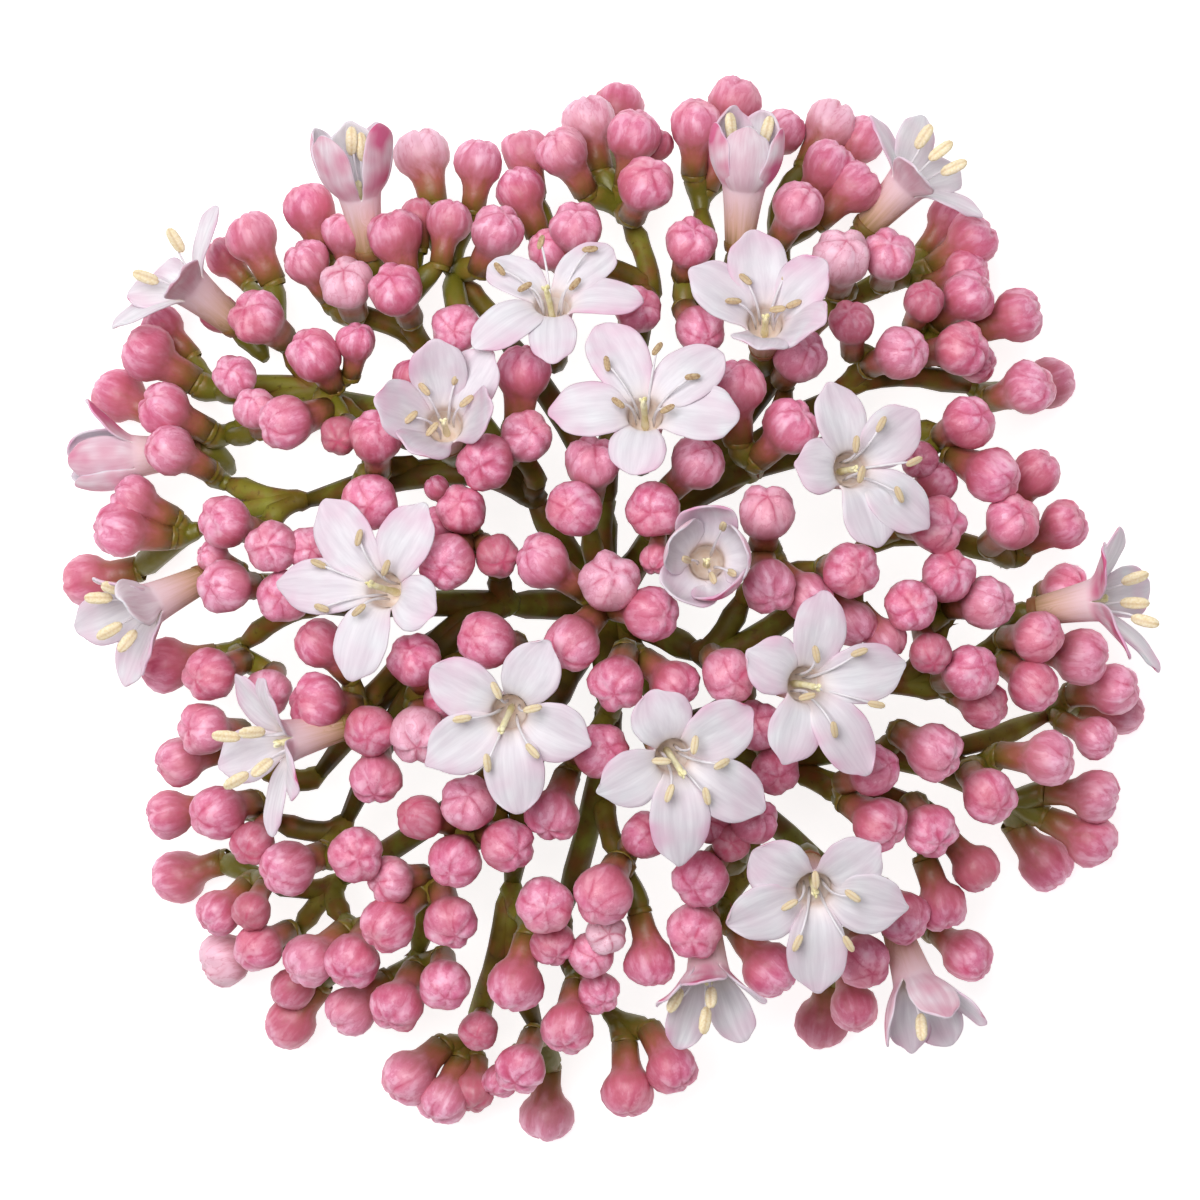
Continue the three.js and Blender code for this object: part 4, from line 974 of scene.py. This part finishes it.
def arched(throat, axis, out, start, tip, closing, half, point, dice):
    """The arch of one petal from start on the throat to its tip: where each share across it and
    along it lies. A closed petal also wraps round the axis."""
    sideways = axis.cross(out)
    ruffle = dice.uniform(0, math.tau)
    hollow = dice.uniform(0.05, 0.16)
    length = (tip - start).length
    lift = axis * (0.55 - 0.15 * closing) + out * (0.45 + 0.45 * closing)
    rise = start + lift.normalized() * length * 0.3
    curl = axis * 0.28 * (1 - closing) + out * 0.8 * closing
    ease = tip - ((tip - start).normalized() - curl).normalized() * length * 0.35

    def place_at(across, along):
        # The tip's edge falls back a little at both sides, which rounds it
        at = along * (1 - 0.1 * across**2 * along**3)
        left = 1 - at
        middle = start * left**3 + rise * 3 * left * left * at + ease * 3 * left * at**2 + tip * at**3
        heading = (rise - start) * left * left + (ease - rise) * 2 * left * at + (tip - ease) * at**2
        heading.normalize()
        face = heading.cross(sideways).normalized()
        if face.dot(axis) < -0.5:
            face = -face
        lateral = face.cross(heading).normalized()
        if lateral.dot(sideways) < 0:
            lateral = -lateral
        width = half * outline(along, point)
        ripple = 0.06 * math.sin(5 * along + ruffle + 2 * across) * along
        ripple += 0.05 * math.sin(11 * along + 3 * ruffle) * along * across**2
        channel = hollow * (1 - 1.3 * along) * across**2 - 0.06 * math.exp(-((across / 0.25) ** 2))
        place = middle + lateral * across * width + face * half * (channel + ripple)
        if closing:
            ahead = axis * (middle - throat).dot(axis)
            spoke = middle - throat - ahead
            swing = max(-1.3, min(1.3, across * width / max(spoke.length, 0.4 * half)))
            wrapped = throat + ahead + Matrix.Rotation(swing, 3, axis) @ spoke + face * half * ripple
            place = place.lerp(wrapped, min(closing * 1.3, 1))
        return place

    return place_at


def make_sheet(sheet_at, tint):
    """One petal with its share of the tube, as a sheet that is laid by its course: where each share
    across it and each row along it lies, and its own place."""
    clear_bench()
    rows = TUBE_ROWS + BLADE_ROWS
    bpy.ops.mesh.primitive_grid_add(x_subdivisions=PETAL_COLUMNS, y_subdivisions=rows, size=2)
    sheet = bpy.context.object
    own_places = []
    for corner in sheet.data.vertices:
        corner.co, own = sheet_at(corner.co.x, (corner.co.y + 1) / 2 * rows - TUBE_ROWS)
        own_places.extend(own)
    mark(sheet.data, "own", "FLOAT_VECTOR", "vector", own_places)
    mark(sheet.data, "tint", "FLOAT", "value", [tint] * len(sheet.data.vertices))
    return sheet


def make_corolla(name, flower):
    """Five petals on one tube, joined into one thin sheet with a thickness."""
    _, throat, axis, petals = facing(flower)
    side = axis.orthogonal().normalized()
    forward = axis.cross(side)
    dice = random.Random(name)

    def turn_of(petal):
        return math.atan2((petal[0] - throat).dot(forward), (petal[0] - throat).dot(side))

    def spoke_at(turn):
        return side * math.cos(turn) + forward * math.sin(turn)

    petals = sorted(petals, key=turn_of)
    turns = [turn_of(petal) for petal in petals]
    # One petal ends and the next begins halfway between their turns
    notches = [(turn + after) / 2 for turn, after in zip(turns, [*turns[1:], turns[0] + math.tau])]
    sheets = []
    for i, (tip, closing, flush) in enumerate(petals):
        left = notches[i - 1] - (math.tau if i == 0 else 0)
        right = notches[i]
        half = flower["width"] * PIXEL * dice.uniform(0.94, 1.04)
        point = flower.get("point", 0.5) + 0.25 * math.sin(i * 2.4 + turns[0])
        out = spoke_at(turns[i])
        start = throat + out * THROAT_RADIUS * (0.75 + 0.12 * (i % 2))
        length = (tip - start).length
        place_at = arched(throat, axis, out, start, tip, closing, half, point, dice)

        def sheet_at(across, row):
            spoke = spoke_at(left + (right - left) * (across + 1) / 2)
            if row <= 0:
                down = -row / TUBE_ROWS
                narrowed = THROAT_RADIUS * (1 - TUBE_TAPER * down)
                return throat + spoke * narrowed - axis * TUBE_LENGTH * down**1.3, (across, 0, down)
            along = row / BLADE_ROWS
            rim = throat + spoke * THROAT_RADIUS * (1 + 0.35 * along) + axis * length * 0.25 * along
            return rim.lerp(place_at(across, along), eased(min(along / 0.3, 1))), (across, along, -along)

        sheets.append(make_sheet(sheet_at, dice.uniform(-0.3, 0.6) + flush))
    clear_bench()
    for sheet in sheets:
        sheet.select_set(True)
    bpy.context.view_layer.objects.active = sheets[0]
    bpy.ops.object.join()
    piece = bpy.context.object
    piece.name = name + "_corolla"
    into_edit_mode()
    bpy.ops.mesh.remove_doubles(threshold=0.004 * MM)
    bpy.ops.mesh.normals_make_consistent(inside=False)
    bpy.ops.object.mode_set(mode="OBJECT")
    tube_faces = [face for face in piece.data.polygons if (face.center - throat).dot(axis) < -0.5 * MM]
    inward = sum((face.center - throat).cross(axis).cross(axis).dot(face.normal) for face in tube_faces)
    if inward < 0:
        piece.data.flip_normals()
    for finish in (petal_inside, petal_outside):
        piece.data.materials.append(finish)
    thick = piece.modifiers.new("thickness", "SOLIDIFY")
    thick.thickness = PETAL_THICKNESS
    thick.offset = -1
    thick.material_offset = 1
    thick.material_offset_rim = 0
    smooth = piece.modifiers.new("smooth", "SUBSURF")
    smooth.levels = smooth.render_levels = 1
    for modifier in ("thickness", "smooth"):
        bpy.ops.object.modifier_apply(modifier=modifier)
    bpy.ops.object.shade_smooth()
    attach(piece, "root")
    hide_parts(name)


def grow_flower_stalk(name, flower):
    """The ovary and short stalk that hold a flower's tube, with the calyx round the tube."""
    foot, throat, axis, _ = facing(flower)
    cluster = new_cluster()
    calyx_at = throat - axis * TUBE_LENGTH
    bend = calyx_at - axis * (calyx_at - foot).length * 0.5
    lay(cluster, SHOOT, bent(foot, bend, calyx_at, STALK_SWELLING, -3.6, -1.9), -0.2, 1)
    lay(cluster, CALYX, turned(calyx_at - axis * 0.2 * MM, axis, 0.4, 0.74 * MM, 0.5 * MM), 0.0, 2)
    set_down(cluster, name + "_stalk", [spray_rind, pink_skin, calyx_rind], name)


for flower_name, flower_data in FLOWERS.items():
    make_corolla(flower_name, flower_data)
    grow_flower_stalk(flower_name, flower_data)

# Stamens and styles: white threads that rise out of each tube, each with a cream anther of two
# long sacs, dusty with pollen, which shrinks and turns tan when it is spent. In the middle a pale
# yellow style with a knobbed stigma stands in the hollow floor of the throat.
ANTHER_LENGTH = 0.76 * MM
ANTHER_SHAPE = (0.42, 0.34, 1)
THREAD_WIDTHS = [0.1, 0.075, 0.06, 0.06]
STYLE_WIDTHS = [0.2, 0.2, 0.17, 0.15, 0.16, 0.2]
THROAT_BOWL = 0.86 * MM
THROAT_DEPTH = 1.4 * MM
STIGMA_KNOBS = 3


def make_anther():
    """One anther of unit half length: two sacs side by side with a groove between."""
    clear_bench()
    bpy.ops.mesh.primitive_uv_sphere_add(segments=10, ring_count=6, radius=1)
    into_edit_mode()
    bpy.ops.transform.resize(value=ANTHER_SHAPE)
    corners, faces = taken_up()
    for corner in corners:
        corner.y *= 1 - 0.42 * math.exp(-((corner.x / 0.16) ** 2))
        corner.z = math.copysign(abs(corner.z) ** 0.7, corner.z)
    return corners, faces


ANTHER = make_anther()


def make_throat():
    """The hollow floor of a tube, above the ovary: a bowl of unit radius and depth, its face up."""
    clear_bench()
    bpy.ops.mesh.primitive_uv_sphere_add(segments=12, ring_count=8, radius=1)
    cut_open(lambda height: height > 0.1)
    corners, faces = taken_up()
    low = min(faces, key=lambda face: sum(corners[number].z for number in face))
    foot, right, left = [corners[number] for number in low[:3]]
    if (right - foot).cross(left - foot).z < 0:
        faces = [face[::-1] for face in faces]
    return corners, faces


THROAT = make_throat()


def anther_skin():
    """Anther skin: cream and dusty, with pollen grains drawn as specks of 0.12 mm, coarser than real
    so that they show, and browner along the split."""
    finish, add, here = new_finish("cream_anther_skin")
    own = add("Attribute", attribute_name="own").node.outputs["Vector"]
    # Tint: how far the anther is spent, which turns it tan
    tint = add("Attribute", attribute_name="tint").node.outputs["Fac"]
    grains = add("TexNoise", {"Vector": here, "Scale": 1 / (0.12 * MM), "Detail": 2.0})
    cream = add("ValToRGB", {"Fac": grains}, stops=[(0.3, "#e6d2a4"), (0.5, "#f0e0bb"), (0.7, "#f5ead0")])
    middle = add("Math", {0: add("SeparateXYZ", {0: own})}, operation="ABSOLUTE")
    split = washed(add, cream, [(middle, 0.14, 0.0, 0.4, "#b98a54")])
    aged = add("Math", {0: grains, 1: 1.4}, operation="MULTIPLY")
    spent = add("Math", {0: tint, 1: aged}, operation="MULTIPLY", use_clamp=True)
    skin = add("Mix", {"Factor": spent, 6: split, 7: colour("#8f6233")}, data_type="RGBA")
    relief = add("Bump", {"Height": grains, "Strength": 0.5, "Distance": 0.04 * MM})
    return coated(finish, add, {"Base Color": skin, "Normal": relief, "Roughness": 0.7})


def thread_tissue(name, pale, deep):
    """Flesh of a thread, a throat's floor or a style: smooth and moist, faintly clouded."""
    finish, add, here = new_finish(name)
    cloud = add("TexNoise", {"Vector": here, "Scale": 1 / (0.5 * MM), "Detail": 2.0})
    shade = add("ValToRGB", {"Fac": cloud}, stops=[(0.4, pale), (0.65, deep)])
    return coated(finish, add, {"Base Color": shade, "Roughness": 0.4})


thread_white = thread_tissue("white_stamen_thread", "#e6e1e6", "#dcd5da")
throat_cream = thread_tissue("cream_throat_floor", "#f5e8e2", "#edd8cb")
stigma_yellow = thread_tissue("pale_yellow_style", "#f4edc6", "#e4d99c")
anther_cream = anther_skin()


def grow_stamen(cluster, flower, place, throat, axis, dice):
    """Adds one thread with its anther, which hangs outwards, or forwards where the flower does."""
    end = on_head(place, 0)
    outward = end - throat
    if len(place) > 2:
        end.z = throat.z + place[2] * PIXEL
    else:
        end.z = throat.z + 1.3 * MM - (axis.x * outward.x + axis.y * outward.y) / axis.z
    outward = end - throat
    outward -= axis * outward.dot(axis)
    root = throat - axis * 1.2 * MM + outward.normalized() * 0.45 * MM
    bend = throat + outward * 0.35 + axis * 1.2 * MM
    lay(cluster, SHOOT, bent(root, bend, end, THREAD_WIDTHS), 0.0, 0)
    stray = Vector([dice.uniform(-0.6, 0.6) for _ in "xyz"])
    if "faces" in flower:
        heading = ((end - bend).normalized() + axis + stray * 0.5).normalized()
    else:
        heading = (outward.normalized() + stray).normalized()
        heading = (heading - UP * heading.z * 0.6).normalized()
    spent = flower.get("spent", 0)
    size = ANTHER_LENGTH * ((0.68 - 0.15 * spent) if spent else 1)
    lay(cluster, ANTHER, turned(end + UP * 0.1 * MM, heading, dice.uniform(-0.5, 0.5), size), spent, 1)


def grow_stamens(name, flower):
    """The throat's floor, the stamens and the style of one flower. A nearly closed flower has its
    style left out, because its petals hide it."""
    _, throat, axis, _ = facing(flower)
    cluster = new_cluster()
    dice = random.Random(name + "stamens")
    for place in flower["anthers"]:
        grow_stamen(cluster, flower, place, throat, axis, dice)
    bowl = turned(throat - axis * 0.4 * MM, axis, 0, THROAT_BOWL, THROAT_DEPTH)
    lay(cluster, THROAT, bowl, 0.0, 2)
    if flower.get("closing", 0) <= 0.8:
        head = throat + axis * 0.5 * MM
        if "stigma" in flower:
            head = on_head(flower["stigma"], 0)
            head.z = throat.z + 1.1 * MM
        root = throat - axis * (0.4 * MM + THROAT_DEPTH)
        lay(cluster, SHOOT, bent(root, throat.lerp(root, 0.3), head, STYLE_WIDTHS), 0.0, 3)
        aim = (head - throat).normalized()
        side = aim.orthogonal().normalized()
        for knob in range(STIGMA_KNOBS):
            turn = knob * math.tau / STIGMA_KNOBS
            place = head + (side * math.cos(turn) + aim.cross(side) * math.sin(turn)) * 0.12 * MM
            lay(cluster, ANTHER, turned(place, aim, turn, 0.3 * MM, 0.2 * MM), 0.0, 3)
    set_down(cluster, name + "_stamens", [thread_white, anther_cream, throat_cream, stigma_yellow], name)


for flower_name, flower_data in FLOWERS.items():
    grow_stamens(flower_name, flower_data)

# The studio: a plain white table, a large soft box above to the left, an even white room, and a
# camera that looks straight down from far enough to see the dome without bending it.
CAMERA_HEIGHT = 1.5
CAMERA_FOCUS = 12 * MM
PICTURE_SIDE = 1200
SENSOR = 36.0
WHITE = (1, 1, 1, 1)


def table_top():
    """Matt white board, faintly uneven."""
    finish, add, here = new_finish("matt_white_board")
    cloud = add("TexNoise", {"Vector": here, "Scale": 60.0, "Detail": 0.0})
    shade = add("ValToRGB", {"Fac": cloud}, stops=[(0.3, "#c9c9c9"), (0.7, "#cfcfcf")])
    return coated(finish, add, {
        "Base Color": shade, "Roughness": 0.9, "Emission Color": WHITE, "Emission Strength": 0.8,
    })


clear_bench()
bpy.ops.mesh.primitive_plane_add(size=2)
floor = bpy.context.object
floor.name = "floor"
floor.data.materials.append(table_top())

world = bpy.data.worlds.new("studio")
world.use_nodes = True
room = world.node_tree.nodes["Background"].inputs
room["Color"].default_value = WHITE
room["Strength"].default_value = 0.22
bpy.context.scene.world = world

bpy.ops.object.light_add(type="AREA", location=(-0.13, 0.13, 0.52))
soft_box = bpy.context.object
soft_box.data.size = 0.35
soft_box.data.energy = 3.15
soft_box.rotation_euler = (Vector((0, 0, 0.01)) - soft_box.location).to_track_quat("-Z", "Y").to_euler()

picture_middle = [(PICTURE_SIDE / 2 - MIDDLE[0]) * PIXEL, (MIDDLE[1] - PICTURE_SIDE / 2) * PIXEL]
bpy.ops.object.camera_add(location=(*picture_middle, CAMERA_HEIGHT))
camera = bpy.context.object
camera.data.sensor_width = SENSOR
camera.data.lens = SENSOR * (CAMERA_HEIGHT - CAMERA_FOCUS) / (PICTURE_SIDE * PIXEL)
camera.data.clip_end = 10
bpy.context.scene.camera = camera
bpy.context.scene.view_settings.view_transform = "Standard"
